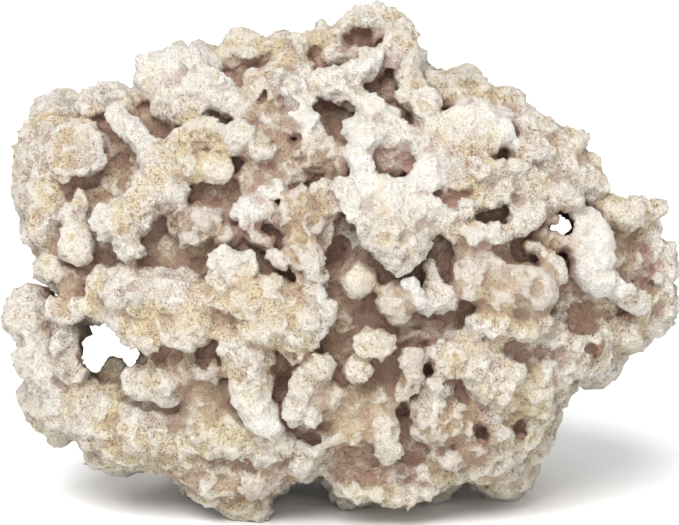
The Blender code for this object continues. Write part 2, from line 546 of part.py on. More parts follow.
def ball_mesh(name, balls, detail=3):
    """One mesh that holds every ball."""
    corners, faces = unit_ball(detail)
    middles = numpy.array([middle for middle, _ in balls])
    radii = numpy.array([radius for _, radius in balls])
    points = corners * radii[:, None, None] + middles[:, None, :]
    starts = numpy.arange(len(balls)) * len(corners)
    mesh = bpy.data.meshes.new(name)
    loops = faces + starts[:, None, None]
    mesh.from_pydata(points.reshape(-1, 3).tolist(), [], loops.reshape(-1, 3).tolist())
    obj = bpy.data.objects.new(name, mesh)
    bpy.context.scene.collection.objects.link(obj)
    return obj


def melt(obj, voxel):
    """Fuses what overlaps in the mesh into one skin."""
    modifier = obj.modifiers.new("melt", "REMESH")
    modifier.mode = "VOXEL"
    modifier.voxel_size = voxel


def soften(obj, factor, repeats):
    modifier = obj.modifiers.new("soften", "SMOOTH")
    modifier.factor = factor
    modifier.iterations = repeats


def roughen(obj, kind, size, height, level=0.5):
    """Raises and lowers the skin by a solid texture."""
    texture = bpy.data.textures.new("roughness", kind)
    texture.noise_scale = size
    if kind == "MUSGRAVE":
        texture.musgrave_type = "RIDGED_MULTIFRACTAL"
        texture.noise_intensity = RIDGE_STRENGTH
    modifier = obj.modifiers.new("roughen", "DISPLACE")
    modifier.texture = texture
    modifier.texture_coords = "LOCAL"
    modifier.strength = height
    modifier.mid_level = level


def combine(obj, other, operation):
    modifier = obj.modifiers.new(operation.lower(), "BOOLEAN")
    modifier.object = other
    modifier.operation = operation


def settle(obj):
    """Works the modifiers into the mesh."""
    bpy.context.view_layer.update()
    graph = bpy.context.evaluated_depsgraph_get()
    mesh = bpy.data.meshes.new_from_object(obj.evaluated_get(graph))
    obj.modifiers.clear()
    obj.data = mesh


def keep_largest(obj):
    """Drops loose crumbs and sealed bubbles."""
    work = bmesh.new()
    work.from_mesh(obj.data)
    unseen = set(work.verts)
    islands = []
    while unseen:
        island = {unseen.pop()}
        edge = list(island)
        while edge:
            vert = edge.pop()
            for link in vert.link_edges:
                other = link.other_vert(vert)
                if other in unseen:
                    unseen.discard(other)
                    island.add(other)
                    edge.append(other)
        islands.append(island)
    islands.sort(key=len)
    crumbs = [vert for island in islands[:-1] for vert in island]
    bmesh.ops.delete(work, geom=crumbs, context="VERTS")
    work.to_mesh(obj.data)
    work.free()


def stone():
    """Pale, chalky stone."""
    material = bpy.data.materials.new("reef_stone")
    material.use_nodes = True
    shader = material.node_tree.nodes["Principled BSDF"]
    shader.inputs["Base Color"].default_value = (0.78, 0.71, 0.61, 1)
    shader.inputs["Roughness"].default_value = 0.95
    shader.inputs["Metallic"].default_value = 0
    return material


def all_beads(table, put, steady=False):
    """The balls of every form, each form with chances of its own, so a change to one leaves the rest."""
    found = []
    for name, run in table.items():
        chance = None if steady else random.Random(name.replace("_", ""))
        found += beads(run, put, chance)
    return found


def cut_away(obj, balls, voxel):
    """Takes the space of the balls out of the object."""
    cutter = ball_mesh("space", balls)
    melt(cutter, voxel)
    settle(cutter)
    combine(obj, cutter, "DIFFERENCE")
    settle(obj)
    bpy.data.objects.remove(cutter)


def through_beads():
    """Balls along each way through, from before the face to behind the back."""
    reach = DOME_RISE * THROUGH_REACH
    found = []
    for run in THROUGH.values():
        for column, row, radius in run:
            line = [(column, row, radius, -reach), (column, row, radius * THROUGH_FLARE, reach)]
            found += beads(line, at_depth)
    return found


def rough_rock(voxel):
    """The rock's body with its hollows and knobs, still upright in the photograph's frame."""
    chance = random.Random(SEED)
    front = all_beads(MASSES, on_front)
    back = all_beads(BACK_MASSES, on_back) + bed_beads(on_back, STRAY) + rim_beads(chance)
    balls = all_beads(CORE, at_depth, steady=True) + bed_beads(on_front) + front + back
    balls += all_beads(FEET, at_depth)
    balls += nodules(front, *FRONT_NODULES, chance) + nodules(back, *BACK_NODULES, chance)
    rock = ball_mesh("reef_rock", balls)
    melt(rock, voxel)
    soften(rock, 0.5, 1)
    settle(rock)
    spaces = all_beads(HOLLOWS, cut_front) + all_beads(BACK_HOLLOWS, cut_back)
    cut_away(rock, spaces + through_beads(), voxel)
    knobs = ball_mesh("knobs", stemmed(KNOBS, on_front))
    melt(knobs, voxel)
    settle(knobs)
    combine(rock, knobs, "UNION")
    melt(rock, voxel)
    soften(rock, 0.5, 1)
    roughen(rock, "VORONOI", LUMP_SIZE, -LUMP_HEIGHT)
    roughen(rock, "CLOUDS", SWELL_SIZE, SWELL_HEIGHT)
    roughen(rock, "MUSGRAVE", RIDGE_SIZE, RIDGE_HEIGHT, RIDGE_LEVEL)
    settle(rock)
    bpy.data.objects.remove(knobs)
    return rock


def lighten(rock, faces):
    """Thins the mesh to the number of triangles given, and the back more than the face."""
    back = rock.vertex_groups.new(name="back")
    for vert in rock.data.vertices:
        share = min(1, max(LEAST_THINNING, MIDDLE_THINNING + vert.co.y / DEPTH * THINNING_RISE))
        back.add([vert.index], share, "REPLACE")
    modifier = rock.modifiers.new("lighten", "DECIMATE")
    modifier.ratio = faces / sum(len(face.vertices) - 2 for face in rock.data.polygons)
    modifier.vertex_group = "back"
    modifier.vertex_group_factor = BACK_COARSENESS
    settle(rock)
    rock.vertex_groups.clear()


def cut_feet(rock):
    """Tilts the rock as it stands and cuts its feet flat on the ground."""
    rock.data.transform(Matrix.Rotation(-LOOK_DOWN, 4, "X"))
    ground = bpy.data.objects.new("ground", bpy.data.meshes.new("ground"))
    bpy.context.scene.collection.objects.link(ground)
    work = bmesh.new()
    bmesh.ops.create_cube(work, size=1, matrix=Matrix.Translation((0, 0, GROUND - 0.5)))
    work.to_mesh(ground.data)
    work.free()
    combine(rock, ground, "DIFFERENCE")
    settle(rock)
    bpy.data.objects.remove(ground)


def centre(rock):
    """Puts the origin on the ground under the middle of the rock's box, and brings the rock to its width."""
    low, high = Vector(rock.bound_box[0]), Vector(rock.bound_box[6])
    middle = (low + high) / 2
    rock.data.transform(Matrix.Translation((-middle.x, -middle.y, -GROUND)))
    rock.data.transform(Matrix.Scale(WIDTH / (high.x - low.x), 4))


def main():
    for old in list(bpy.data.objects):
        bpy.data.objects.remove(old)
    rock = rough_rock(VOXEL)
    keep_largest(rock)
    lighten(rock, FACES)
    cut_feet(rock)
    keep_largest(rock)
    centre(rock)
    rock.data.materials.clear()
    rock.data.materials.append(stone())
    rock.data.shade_smooth()


if __name__ == "__main__":
    main()
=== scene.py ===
import math
import random

import bpy
import numpy as np
from mathutils import Matrix, Vector
from mathutils.bvhtree import BVHTree


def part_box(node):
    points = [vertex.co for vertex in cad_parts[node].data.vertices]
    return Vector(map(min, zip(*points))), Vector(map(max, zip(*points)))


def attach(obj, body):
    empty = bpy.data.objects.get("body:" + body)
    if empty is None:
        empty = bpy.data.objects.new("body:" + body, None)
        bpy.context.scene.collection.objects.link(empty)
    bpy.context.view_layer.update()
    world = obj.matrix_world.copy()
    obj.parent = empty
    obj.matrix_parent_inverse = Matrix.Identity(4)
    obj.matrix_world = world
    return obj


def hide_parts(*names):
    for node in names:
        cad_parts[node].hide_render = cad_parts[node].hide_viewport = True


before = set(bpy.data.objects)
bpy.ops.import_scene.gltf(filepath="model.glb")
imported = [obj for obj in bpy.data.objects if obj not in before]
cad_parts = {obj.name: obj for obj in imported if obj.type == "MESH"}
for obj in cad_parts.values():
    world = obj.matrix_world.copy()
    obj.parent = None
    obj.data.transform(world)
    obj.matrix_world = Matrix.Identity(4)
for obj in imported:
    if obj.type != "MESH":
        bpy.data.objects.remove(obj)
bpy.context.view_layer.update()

# The photograph: places below are its columns and rows
photo = {
    "columns": 679,
    "rows": 525,
    "rockColumns": 675,  # the rock's own width
    "rockWidth": 0.300,  # metres
    "eyeDistance": 1.5,
    "lookDown": math.radians(10),
    "ground": -0.1052,  # the surface it stands on, below the photograph's middle
}
pixel = photo["rockWidth"] / photo["rockColumns"]

# The domes that the front and the back are built on, in pixels
domeColumns = 350
domeRows = 275
domeDepth = 0.180  # metres, front to back
domeShare = 0.93  # of half the depth, as the forms that stand on the dome make up the rest
domeFloor = 0.17  # of the rise, left beyond the dome's edge
domeRise = domeDepth / 2 / pixel * domeShare

# Inside of the rock: column, row, radius, depth behind the middle plane
core = {
    "heart": [(250, 250, 122, 0), (345, 250, 140, 5), (430, 265, 105, 5)],
    "leftFlank": [(125, 215, 78, 5), (150, 270, 60, 5)],
    "upperLeft": [(190, 140, 62, 10), (235, 130, 74, 5)],
    "upperRight": [(340, 135, 98, 5), (420, 150, 80, 0), (480, 165, 62, 0), (540, 170, 24, 0)],
    "crown": [(382, 77, 45, 0)],
    "rightFlank": [(505, 300, 70, 5), (560, 315, 48, 0)],
    "rightEnd": [(612, 270, 34, 0), (628, 290, 34, 0)],
    "belly": [(290, 370, 100, 10), (410, 375, 95, 10), (480, 380, 62, 10)],
    "lowerLeft": [(215, 395, 56, 0), (170, 415, 30, 0)],
}

# Skin under the forms: row, first column, last column
bed = {
    "rows": [
        (74, 198, 385),
        (98, 165, 455),
        (130, 66, 512),
        (160, 52, 548),
        (190, 48, 566),
        (218, 57, 520),
        (230, 592, 625),
        (246, 64, 522),
        (262, 580, 640),
        (274, 78, 540),
        (296, 95, 640),
        (322, 165, 620),
        (350, 172, 588),
        (380, 176, 540),
        (410, 70, 524),
        (432, 110, 520),
        (456, 200, 500),
        (464, 228, 262),
        (468, 356, 428),
    ],
    "radius": 26,
    "stand": -25,
    "step": 22,
    "rimRadius": 30,
    "rimDepths": (-36, 0, 36),
    "rimShares": (0.7, 1.05),  # of the rim's radius
    "rimStray": 16,  # in depth
    "stray": 9,  # of the places on the back and the sides, where no form hides the rows
}

# Forms of the front: column, row, radius, stand off the dome
masses = {
    "shoulder": [(30, 156, 17, 2), (44, 143, 18, 6), (62, 137, 17, 9), (82, 138, 16, 9), (99, 146, 14, 8)],
    "shoulderEdge": [(48, 156, 19, 8), (68, 156, 19, 10), (86, 157, 17, 9)],
    "shoulderHem": [
        (24, 169, 10, 0), (40, 170, 9, 7), (56, 174, 8, 8), (73, 169, 9, 9), (89, 172, 8, 8),
        (103, 161, 9, 8),
    ],
    "shoulderCap": [(46, 121, 12, 0), (62, 119, 11, 0)],
    "leftLedge": [(92, 106, 14, 2), (110, 103, 16, 2), (126, 106, 15, 2)],
    "whiteBoulder": [(157, 80, 25, 6), (180, 72, 27, 10), (202, 71, 22, 10)],
    "whiteSlope": [(205, 86, 19, 12), (222, 97, 16, 8), (236, 106, 12, 3)],
    "slopeFoot": [(176, 104, 22, 6), (194, 114, 15, 6)],
    "slopeFill": [(256, 86, 14, 3), (264, 102, 12, 2), (260, 118, 12, 0), (246, 120, 12, 4)],
    "topKnob": [(232, 52, 18, 4), (248, 50, 16, 2)],
    "knobStep": [(272, 50, 13, -4), (284, 48, 12, -6)],
    "shelf": [
        (188, 140, 14, 10), (208, 137, 13, 12), (232, 140, 14, 12), (256, 147, 14, 10), (268, 150, 10, 6),
    ],
    "columnHead": [(146, 156, 13, 12), (162, 158, 17, 16), (178, 152, 15, 14)],
    "column": [
        (160, 172, 22, 20), (158, 192, 22, 20), (142, 208, 20, 20), (128, 221, 19, 20), (130, 238, 16, 18),
    ],
    "columnBulge": [(176, 196, 13, 12)],
    "yellowRoot": [(198, 158, 13, 2), (196, 172, 12, 0)],
    "columnKnobHigh": [(131, 203, 13, 18)],
    "columnKnobMid": [(110, 222, 12, 20), (108, 232, 10, 18)],
    "columnTip": [(126, 248, 12, 14), (142, 252, 10, 12)],
    "leftWall": [(33, 190, 20, -2), (54, 205, 28, -2), (50, 226, 20, -2)],
    "leftWallKnobs": [(88, 198, 10, -8), (78, 212, 12, -4)],
    "whiteEgg": [(76, 240, 19, 10), (82, 254, 15, 10)],
    "leftNodule": [(46, 268, 13, 2), (58, 274, 10, 0)],
    "leftHollowWall": [(78, 286, 22, -14)],
    "armKnuckle": [(29, 318, 28, 0), (34, 312, 24, 4)],
    "armNeck": [(58, 312, 14, 2), (74, 312, 12, 4), (90, 306, 12, 6)],
    "armShank": [(40, 344, 25, 0), (52, 362, 27, 0), (58, 382, 28, 0)],
    "armInner": [(64, 326, 15, 0), (69, 342, 14, -2), (71, 358, 14, -2), (76, 372, 13, 0)],
    "lowerLobe": [(45, 402, 27, 2), (62, 406, 28, 2), (84, 396, 24, 4)],
    "lobeDrip": [(61, 430, 10, -4)],
    "lowerArm": [(92, 410, 30, 6), (118, 424, 36, 6), (150, 424, 34, 6)],
    "lowerArmCorner": [(104, 452, 18, 0), (112, 446, 20, 2)],
    "archBlock": [(138, 382, 16, 8), (156, 380, 21, 12), (176, 384, 19, 8)],
    "slope": [
        (104, 284, 17, 6), (122, 288, 22, 10), (150, 296, 26, 14), (180, 300, 26, 14), (198, 302, 20, 12),
    ],
    "slopeLow": [(112, 312, 17, 8), (134, 326, 20, 10), (158, 328, 22, 12), (186, 330, 20, 10)],
    "nodeRing": [(140, 336, 10, 14), (149, 332, 9, 16), (158, 338, 10, 16), (150, 345, 9, 14)],
    "slopeHem": [(196, 322, 18, 12), (206, 334, 12, 10)],
    "whiteBlock": [(226, 262, 14, 14), (247, 263, 14, 14), (238, 276, 14, 12)],
    "blockFoot": [(216, 288, 15, 10), (224, 304, 17, 12)],
    "bigLump": [(256, 300, 26, 20), (276, 296, 24, 16), (262, 322, 24, 18)],
    "bigLumpSide": [(300, 310, 20, 10), (304, 330, 18, 8), (296, 346, 14, 4)],
    "leftPost": [(246, 344, 26, 16), (252, 366, 24, 14), (250, 384, 20, 12)],
    "tongue": [(250, 398, 18, 14), (262, 414, 18, 14), (270, 426, 12, 12)],
    "lowerLeftFace": [(206, 428, 28, 2), (236, 436, 26, 2), (264, 440, 22, 2), (286, 440, 14, 2)],
    "concaveBack": [(204, 400, 34, -10)],
    "brownStep": [(164, 358, 17, -6), (182, 366, 15, -4), (198, 374, 13, -2), (212, 374, 12, 0)],
    "saddleLeg": [(300, 96, 16, 14), (304, 112, 15, 14), (308, 126, 11, 10)],
    "saddle": [
        (310, 84, 14, 16), (334, 84, 15, 16), (356, 78, 15, 14), (376, 64, 13, 10), (382, 54, 10, 8),
    ],
    "saddleSide": [(352, 98, 15, 10), (344, 90, 14, 10)],
    "saddleNub": [(308, 73, 7, 12)],
    "legKnob": [(314, 140, 11, 2)],
    "roughSlope": [(288, 64, 15, 0), (284, 82, 13, 2)],
    "upperFill": [(276, 112, 24, -9), (300, 74, 20, -6), (292, 176, 24, -10), (262, 196, 22, -8)],
    "crestNub": [(302, 46, 11, 4), (298, 58, 10, 4)],
    "crestBits": [(319, 40, 13, 2), (335, 38, 12, 2), (333, 56, 11, -2)],
    "crestRoof": [(344, 29, 13, 2), (358, 21, 13, 4), (374, 16, 13, 4), (390, 23, 11, 4), (402, 27, 11, 4)],
    "crestRoofLow": [(350, 30, 8, 0), (364, 27, 9, 2), (378, 28, 8, 2)],
    "mastEdge": [(391, 36, 8, 4), (390, 48, 8, 4)],
    "crestFloor": [(352, 62, 14, -10), (366, 42, 18, -24), (384, 44, 14, -20)],
    "roofTongue": [(366, 56, 11, 2), (376, 60, 9, 2)],
    "mast": [(404, 30, 13, 8), (404, 50, 13, 12), (405, 72, 14, 14), (413, 94, 14, 14), (424, 116, 12, 10)],
    "mastFoot": [(434, 128, 11, 10)],
    "mastSide": [(428, 80, 10, -6)],
    "brownLumps": [(268, 122, 15, 0), (282, 132, 13, 4)],
    "belowShelf": [(254, 168, 15, -6), (268, 176, 14, -6), (246, 186, 13, -8)],
    "brightKnob": [(272, 192, 10, 2)],
    "star": [(256, 208, 15, 2), (242, 214, 12, 0), (268, 214, 11, 2)],
    "legRoot": [(300, 156, 15, -4), (318, 162, 15, -4), (338, 152, 15, -2), (344, 170, 13, -2)],
    "knobHigh": [(300, 200, 13, 6)],
    "stub": [(324, 188, 12, 4), (328, 208, 13, 4)],
    "whiteStub": [(348, 192, 10, 12), (354, 206, 12, 14), (362, 220, 10, 12)],
    "post": [
        (292, 214, 17, 4), (306, 224, 22, 8), (318, 232, 15, 6), (300, 244, 18, 10), (312, 258, 17, 14),
    ],
    "postFoot": [(312, 276, 14, 10), (318, 292, 16, 8), (322, 308, 13, 6)],
    "hangingLump": [(186, 224, 17, -2), (206, 222, 18, 2), (196, 240, 14, 2), (194, 252, 6, 0)],
    "sheetLeft": [
        (372, 112, 13, 12), (366, 132, 13, 16), (362, 152, 12, 20), (362, 172, 12, 22), (372, 190, 14, 24),
    ],
    "sheetTop": [(372, 112, 13, 12), (388, 124, 14, 14), (404, 138, 13, 14), (416, 150, 12, 14)],
    "sheetLow": [(384, 192, 17, 26), (402, 192, 18, 24), (422, 184, 18, 20), (430, 166, 14, 14)],
    "sheetNeck": [(384, 210, 20, 26), (408, 212, 20, 24), (430, 208, 14, 18)],
    "sheetLobe": [(380, 232, 22, 28), (404, 234, 24, 30), (392, 248, 22, 28), (416, 240, 18, 24)],
    "sheetNub": [(347, 132, 8, 14), (355, 128, 8, 14)],
    "eyeFloor": [(384, 162, 15, 2), (401, 161, 15, 2)],
    "eyeBrow": [(384, 132, 12, 14), (397, 140, 13, 12)],
    "paleSlab": [(448, 132, 18, 14), (466, 126, 20, 16), (486, 126, 18, 14), (498, 138, 14, 12)],
    "paleSlabLow": [(446, 152, 18, 14), (468, 150, 20, 16), (486, 152, 14, 12)],
    "crestSaddle": [(444, 92, 14, -4), (456, 92, 12, -2), (463, 103, 12, 4), (500, 112, 18, -6)],
    "crestDot": [(480, 86, 11, 2), (484, 94, 12, 2)],
    "notchedLump": [(500, 98, 13, 2), (514, 97, 12, 2), (520, 108, 12, 2)],
    "innerNodule": [(427, 116, 12, 8)],
    "rightPlateau": [
        (522, 124, 18, 4), (536, 136, 18, 4), (556, 142, 16, 2), (570, 152, 16, 0), (588, 168, 15, -2),
    ],
    "plateauFace": [(520, 152, 18, 10), (544, 162, 20, 8), (566, 174, 20, 4), (590, 186, 16, 0)],
    "slabLip": [(438, 172, 14, 16), (456, 176, 13, 18), (474, 176, 12, 16), (490, 170, 12, 14)],
    "secondLip": [(506, 174, 14, 12), (524, 186, 15, 12), (546, 194, 15, 10), (566, 196, 13, 6)],
    "triangleFloor": [(438, 194, 14, 2), (456, 196, 14, 2)],
    "strut": [
        (440, 226, 12, 12), (452, 218, 11, 14), (466, 208, 10, 14), (482, 200, 11, 12), (500, 194, 12, 10),
    ],
    "longLip": [
        (446, 230, 11, 14), (466, 233, 11, 16), (490, 236, 11, 16), (512, 232, 11, 14), (526, 220, 11, 12),
    ],
    "lipKnob": [(520, 214, 12, 12), (536, 210, 10, 8)],
    "brownBlock": [(540, 240, 13, -8), (556, 242, 13, -8)],
    "rightBoulder": [(584, 228, 20, 10), (590, 248, 24, 14), (590, 270, 20, 14), (604, 284, 14, 12)],
    "boulderHem": [(616, 292, 9, 10), (630, 298, 9, 8), (644, 306, 9, 4)],
    "rightKnobs": [(610, 210, 12, 0), (628, 218, 15, 2), (646, 213, 11, -4), (656, 210, 9, -4)],
    "rightRim": [
        (650, 236, 11, -2), (660, 254, 14, -2), (660, 274, 14, 0), (656, 292, 13, 0), (652, 310, 14, -4),
    ],
    "rightSkirt": [(636, 322, 18, -2), (620, 334, 16, -4), (648, 324, 14, -6)],
    "cupBack": [(632, 264, 26, -26)],
    "smoothFace": [
        (474, 258, 22, 10), (478, 280, 24, 18), (502, 288, 26, 20), (530, 288, 24, 18), (546, 294, 16, 14),
    ],
    "smoothTop": [(466, 246, 14, 8), (496, 262, 20, 4)],
    "underLedge": [(478, 322, 13, 12), (498, 328, 14, 14), (522, 330, 14, 14), (544, 324, 10, 12)],
    "caveLedge": [(566, 336, 14, -2), (588, 334, 14, -4), (604, 338, 14, -4)],
    "lowerRight": [(570, 360, 18, -4), (598, 352, 15, -6), (552, 376, 17, -2), (574, 370, 12, -6)],
    "rightSlab": [
        (452, 352, 22, 6), (478, 364, 24, 10), (504, 382, 26, 12), (526, 390, 22, 10), (538, 400, 14, 6),
    ],
    "slabNub": [(526, 362, 9, -6), (540, 356, 9, -8)],
    "slabLeft": [(440, 380, 14, 4), (432, 396, 12, 2)],
    "lowRightMass": [(430, 420, 20, 10), (452, 424, 22, 12), (446, 446, 22, 10), (470, 440, 20, 8)],
    "lowRightSide": [(496, 424, 18, 4), (508, 442, 18, 2), (532, 424, 15, 0), (536, 410, 12, 0)],
    "lowRightHem": [(430, 468, 16, 2), (456, 470, 14, 0), (484, 456, 16, 0), (508, 452, 14, -2)],
    "lowerRightFill": [
        (466, 398, 30, -3), (500, 418, 32, -4), (452, 436, 30, 0), (488, 448, 28, -4), (530, 368, 26, -6),
    ],
    "caveFill": [(560, 352, 24, -8), (590, 336, 20, -8), (470, 340, 22, -4)],
    "bottomLedge": [
        (346, 486, 12, 0), (366, 488, 13, 4), (386, 490, 14, 6), (406, 488, 15, 6), (428, 482, 14, 2),
    ],
    "ledgeBack": [(350, 470, 12, -14), (380, 470, 14, -16), (410, 466, 14, -14)],
    "lowerRidge": [
        (186, 470, 14, 0), (206, 474, 16, 0), (230, 478, 18, 2), (256, 474, 20, 4), (280, 468, 18, 2),
    ],
    "lowerLeftFill": [(184, 436, 32, -5), (226, 424, 30, -6), (262, 446, 26, -5), (150, 452, 22, -4)],
    "ridgeRise": [(296, 462, 16, 4), (310, 450, 14, 4), (322, 442, 12, 2)],
    "leftStep": [(176, 456, 14, -2), (196, 482, 11, -4), (212, 486, 10, -4)],
    "frontFoot": [(236, 499, 20, 0), (252, 501, 21, 2)],
    "middlePost": [(318, 366, 14, 8), (308, 384, 16, 10), (302, 402, 16, 10)],
    "postKnob": [(298, 410, 12, 14), (310, 408, 11, 14)],
    "panel": [
        (322, 388, 14, -2), (328, 404, 17, -3), (346, 404, 24, -6), (366, 398, 20, -10), (340, 424, 17, -4),
        (364, 426, 17, -6), (386, 390, 14, -12),
    ],
    "panelHem": [(336, 438, 8, 0), (352, 440, 8, 0), (370, 442, 8, 0)],
}

# How the faces of some of these forms, and of knobs below, differ from the rest
faces = {
    "smoothness": [
        "whiteBoulder", "sheetLeft", "sheetLow", "paleSlab", "rightBoulder", "smoothFace",
        "whiteEgg", "egg", "hungNodule", "yellowNodule", "tongue", "panel", "concaveBack",
        "brownEgg",
    ],
    "whiteness": [
        "whiteBoulder", "whiteSlope", "armShank", "sheetLeft", "sheetTop", "sheetLow", "paleSlab",
        "rightBoulder", "whiteStub", "whiteFinger", "saddle", "saddleLeg", "columnKnobMid",
        "whiteBlock", "tongue", "brightKnob", "finger", "star", "sheetNeck",
    ],
    "yellowness": [
        "topKnob", "yellowNodule", "egg", "nodeRing", "paleNodule", "bigLump", "innerNodule",
        "rightKnobs", "crestDot", "lobeDrip", "slopeHem", "raggedKnob", "roundKnob", "frontFoot",
        "hungTip",
    ],
    # brown of real staining and painted shade, on the floors and backs of hollows
    "brownStainAndShade": [
        "eyeFloor", "triangleFloor", "crestFloor", "leftHollowWall", "cupBack", "brownBlock",
        "caveSwelling", "brownChip", "ledgeBack",
    ],
    "tanness": [
        "smoothFace", "smoothTop", "concaveBack", "brownStep", "brownLumps", "brownEgg",
        "belowShelf", "legRoot", "hungNodule", "lowRightMass", "panel", "hangingLump", "post",
        "knobHigh", "gapLump", "hungKnob", "lowerRidge",
    ],
}


# Spaces cut into them: column, row, radius, where the cut's middle stands
hollows = {
    "eye": [(379, 164, 8, 12), (392, 167, 9, 11), (404, 166, 8, 9), (409, 163, 6, 2)],
    "crestSlot": [(354, 37, 7, 0), (363, 42, 7, -3), (360, 41, 9, -14)],
    "shelfSlot": [(208, 119, 5, 4), (220, 123, 6, 2), (234, 128, 5, 4), (220, 124, 7, -14)],
    "saddleCave": [(338, 118, 10, 0), (328, 127, 10, -6), (352, 108, 8, 0), (334, 122, 12, -20)],
    "mastSlit": [(388, 52, 3, 8), (386, 67, 3, 8), (384, 82, 4, 6), (388, 97, 3, 8)],
    "slopeSlit": [(262, 102, 5, 2), (266, 92, 4, 0)],
    "legSlit": [(293, 126, 4, 4), (295, 142, 5, -4), (295, 138, 6, -20)],
    "leftCleft": [
        (120, 140, 8, 2), (124, 158, 12, -6), (126, 178, 12, -10), (124, 164, 12, -24), (118, 186, 10, -14),
    ],
    "fingerPit": [(158, 124, 8, 0), (162, 138, 7, -4), (160, 142, 7, -18)],
    "underShoulder": [(92, 190, 7, -2), (108, 182, 9, -8), (104, 210, 7, -10)],
    "columnPit": [(114, 213, 5, -4)],
    "tipPit": [(103, 238, 6, -4), (108, 248, 6, -8)],
    "leftHollow": [(80, 284, 13, 8), (84, 272, 10, 2)],
    "leftUndercut": [(70, 262, 5, 4)],
    "shade": [(160, 262, 17, 2), (186, 266, 14, -4), (206, 256, 14, -8), (214, 244, 10, -14)],
    "columnSide": [(170, 222, 9, 4), (162, 240, 11, 4)],
    "yellowRecess": [(190, 202, 9, -6), (206, 201, 11, -6), (222, 199, 10, -6), (235, 186, 8, -4)],
    "starPit": [(279, 201, 4, 0), (279, 201, 4, -14)],
    "stemPit": [(304, 178, 6, -6), (312, 186, 5, -8)],
    "stubPit": [(332, 174, 6, -2), (334, 176, 5, -14)],
    "mainCave": [(332, 232, 9, 4), (338, 246, 14, 0), (334, 262, 10, -2), (338, 248, 16, -34)],
    "eggCave": [(322, 286, 9, -4), (340, 296, 14, -14), (356, 310, 18, -16), (380, 322, 16, -16)],
    "centreCave": [(338, 330, 12, -14), (356, 322, 16, -16), (392, 338, 15, -16), (420, 330, 14, -10)],
    "caveEnd": [(440, 326, 11, -6), (448, 332, 9, -4)],
    "lobeShade": [(424, 262, 9, 0), (436, 248, 11, 0), (444, 262, 12, -8), (440, 284, 11, -8)],
    "underLobe": [(402, 278, 8, -10), (384, 278, 8, -14)],
    "triangle": [(437, 197, 8, 9), (450, 200, 9, 9), (465, 193, 6, 10)],
    "lipHole": [(484, 219, 6, 8), (498, 215, 7, 8), (490, 218, 7, -6)],
    "slabSlot": [(494, 162, 6, 6), (502, 152, 5, 6), (498, 157, 6, -8)],
    "brow": [(500, 250, 10, 6), (520, 252, 13, 2), (536, 258, 9, 6)],
    "windowRecess": [(532, 246, 12, 2), (546, 238, 12, 2), (540, 256, 10, -2)],
    "cup": [(630, 248, 13, 8), (632, 268, 18, 10), (640, 284, 11, 8)],
    "sideCave": [(568, 305, 14, 2), (587, 311, 16, -1), (606, 313, 13, 2), (586, 312, 18, -16)],
    "slabRecess": [(508, 350, 10, 8), (524, 352, 12, 0), (544, 352, 11, 0), (520, 366, 8, -2)],
    "ledgeSlot": [(586, 352, 5, 2), (602, 348, 5, 0)],
    "rightPit": [(648, 304, 5, 4)],
    "ringHole": [
        (449, 382, 7, 2), (459, 381, 8, -4), (466, 390, 8, -6), (462, 398, 8, -8), (460, 389, 9, -15),
    ],
    "lowHole": [(476, 427, 5, 4), (482, 432, 7, 2), (480, 434, 6, -10)],
    "lowHoleRight": [(514, 427, 6, 4), (521, 422, 6, 2), (519, 428, 6, -8)],
    "lowSlit": [(440, 452, 4, 10), (446, 448, 4, 10), (452, 444, 3, 8)],
    "lowPit": [(456, 466, 5, 6), (463, 469, 5, 6)],
    "centrePit": [(401, 404, 9, -4), (405, 422, 7, -2), (402, 414, 11, -18)],
    "panelGap": [(364, 444, 6, 0), (373, 452, 7, 0)],
    "shadowGap": [(386, 362, 10, -6), (398, 374, 9, -10), (393, 392, 9, -8), (426, 356, 6, 0)],
    "smallArch": [(337, 372, 7, 2), (338, 372, 7, -14)],
    "postCave": [(278, 368, 8, 2), (284, 384, 8, -2), (284, 398, 8, -2), (282, 386, 11, -26)],
    "sideFold": [(292, 356, 9, 0)],
    "bottomCave": [(304, 432, 8, 4), (314, 438, 8, 0), (308, 434, 9, -16)],
    "ledgeCave": [(340, 450, 9, 0), (360, 456, 10, -2), (384, 458, 8, 0), (346, 452, 10, -18)],
    "ledgeShelf": [(376, 466, 10, 6), (400, 466, 9, 6)],
    "concave": [(186, 402, 15, 8), (202, 401, 18, 6), (218, 400, 13, 8)],
    "stepShade": [(152, 354, 9, 4), (170, 353, 10, 2), (187, 355, 9, 2)],
    "postPit": [(199, 350, 8, 2), (211, 354, 8, 2), (206, 360, 7, -6), (206, 354, 9, -14)],
    "smallPit": [(207, 320, 4, 12)],
    "ridgeShade": [(212, 462, 9, 2), (232, 464, 8, 4), (254, 468, 6, 8)],
    "recessTop": [(432, 92, 8, 4), (428, 102, 9, 0)],
    "bottomNotch": [(320, 494, 22, -4), (304, 508, 20, 0)],
}

# Ways right through: column, row, radius
wayReach = 1.3  # of the dome's rise, each way from the middle plane
wayFlare = 1.4  # how much wider they are at the back
through = {
    "leftArch": [(92, 344, 8), (92, 358, 9), (106, 346, 15), (120, 358, 10), (130, 358, 9), (138, 354, 7)],
    "rightWindow": [(549, 225, 7), (557, 221, 10), (565, 225, 9)],
}

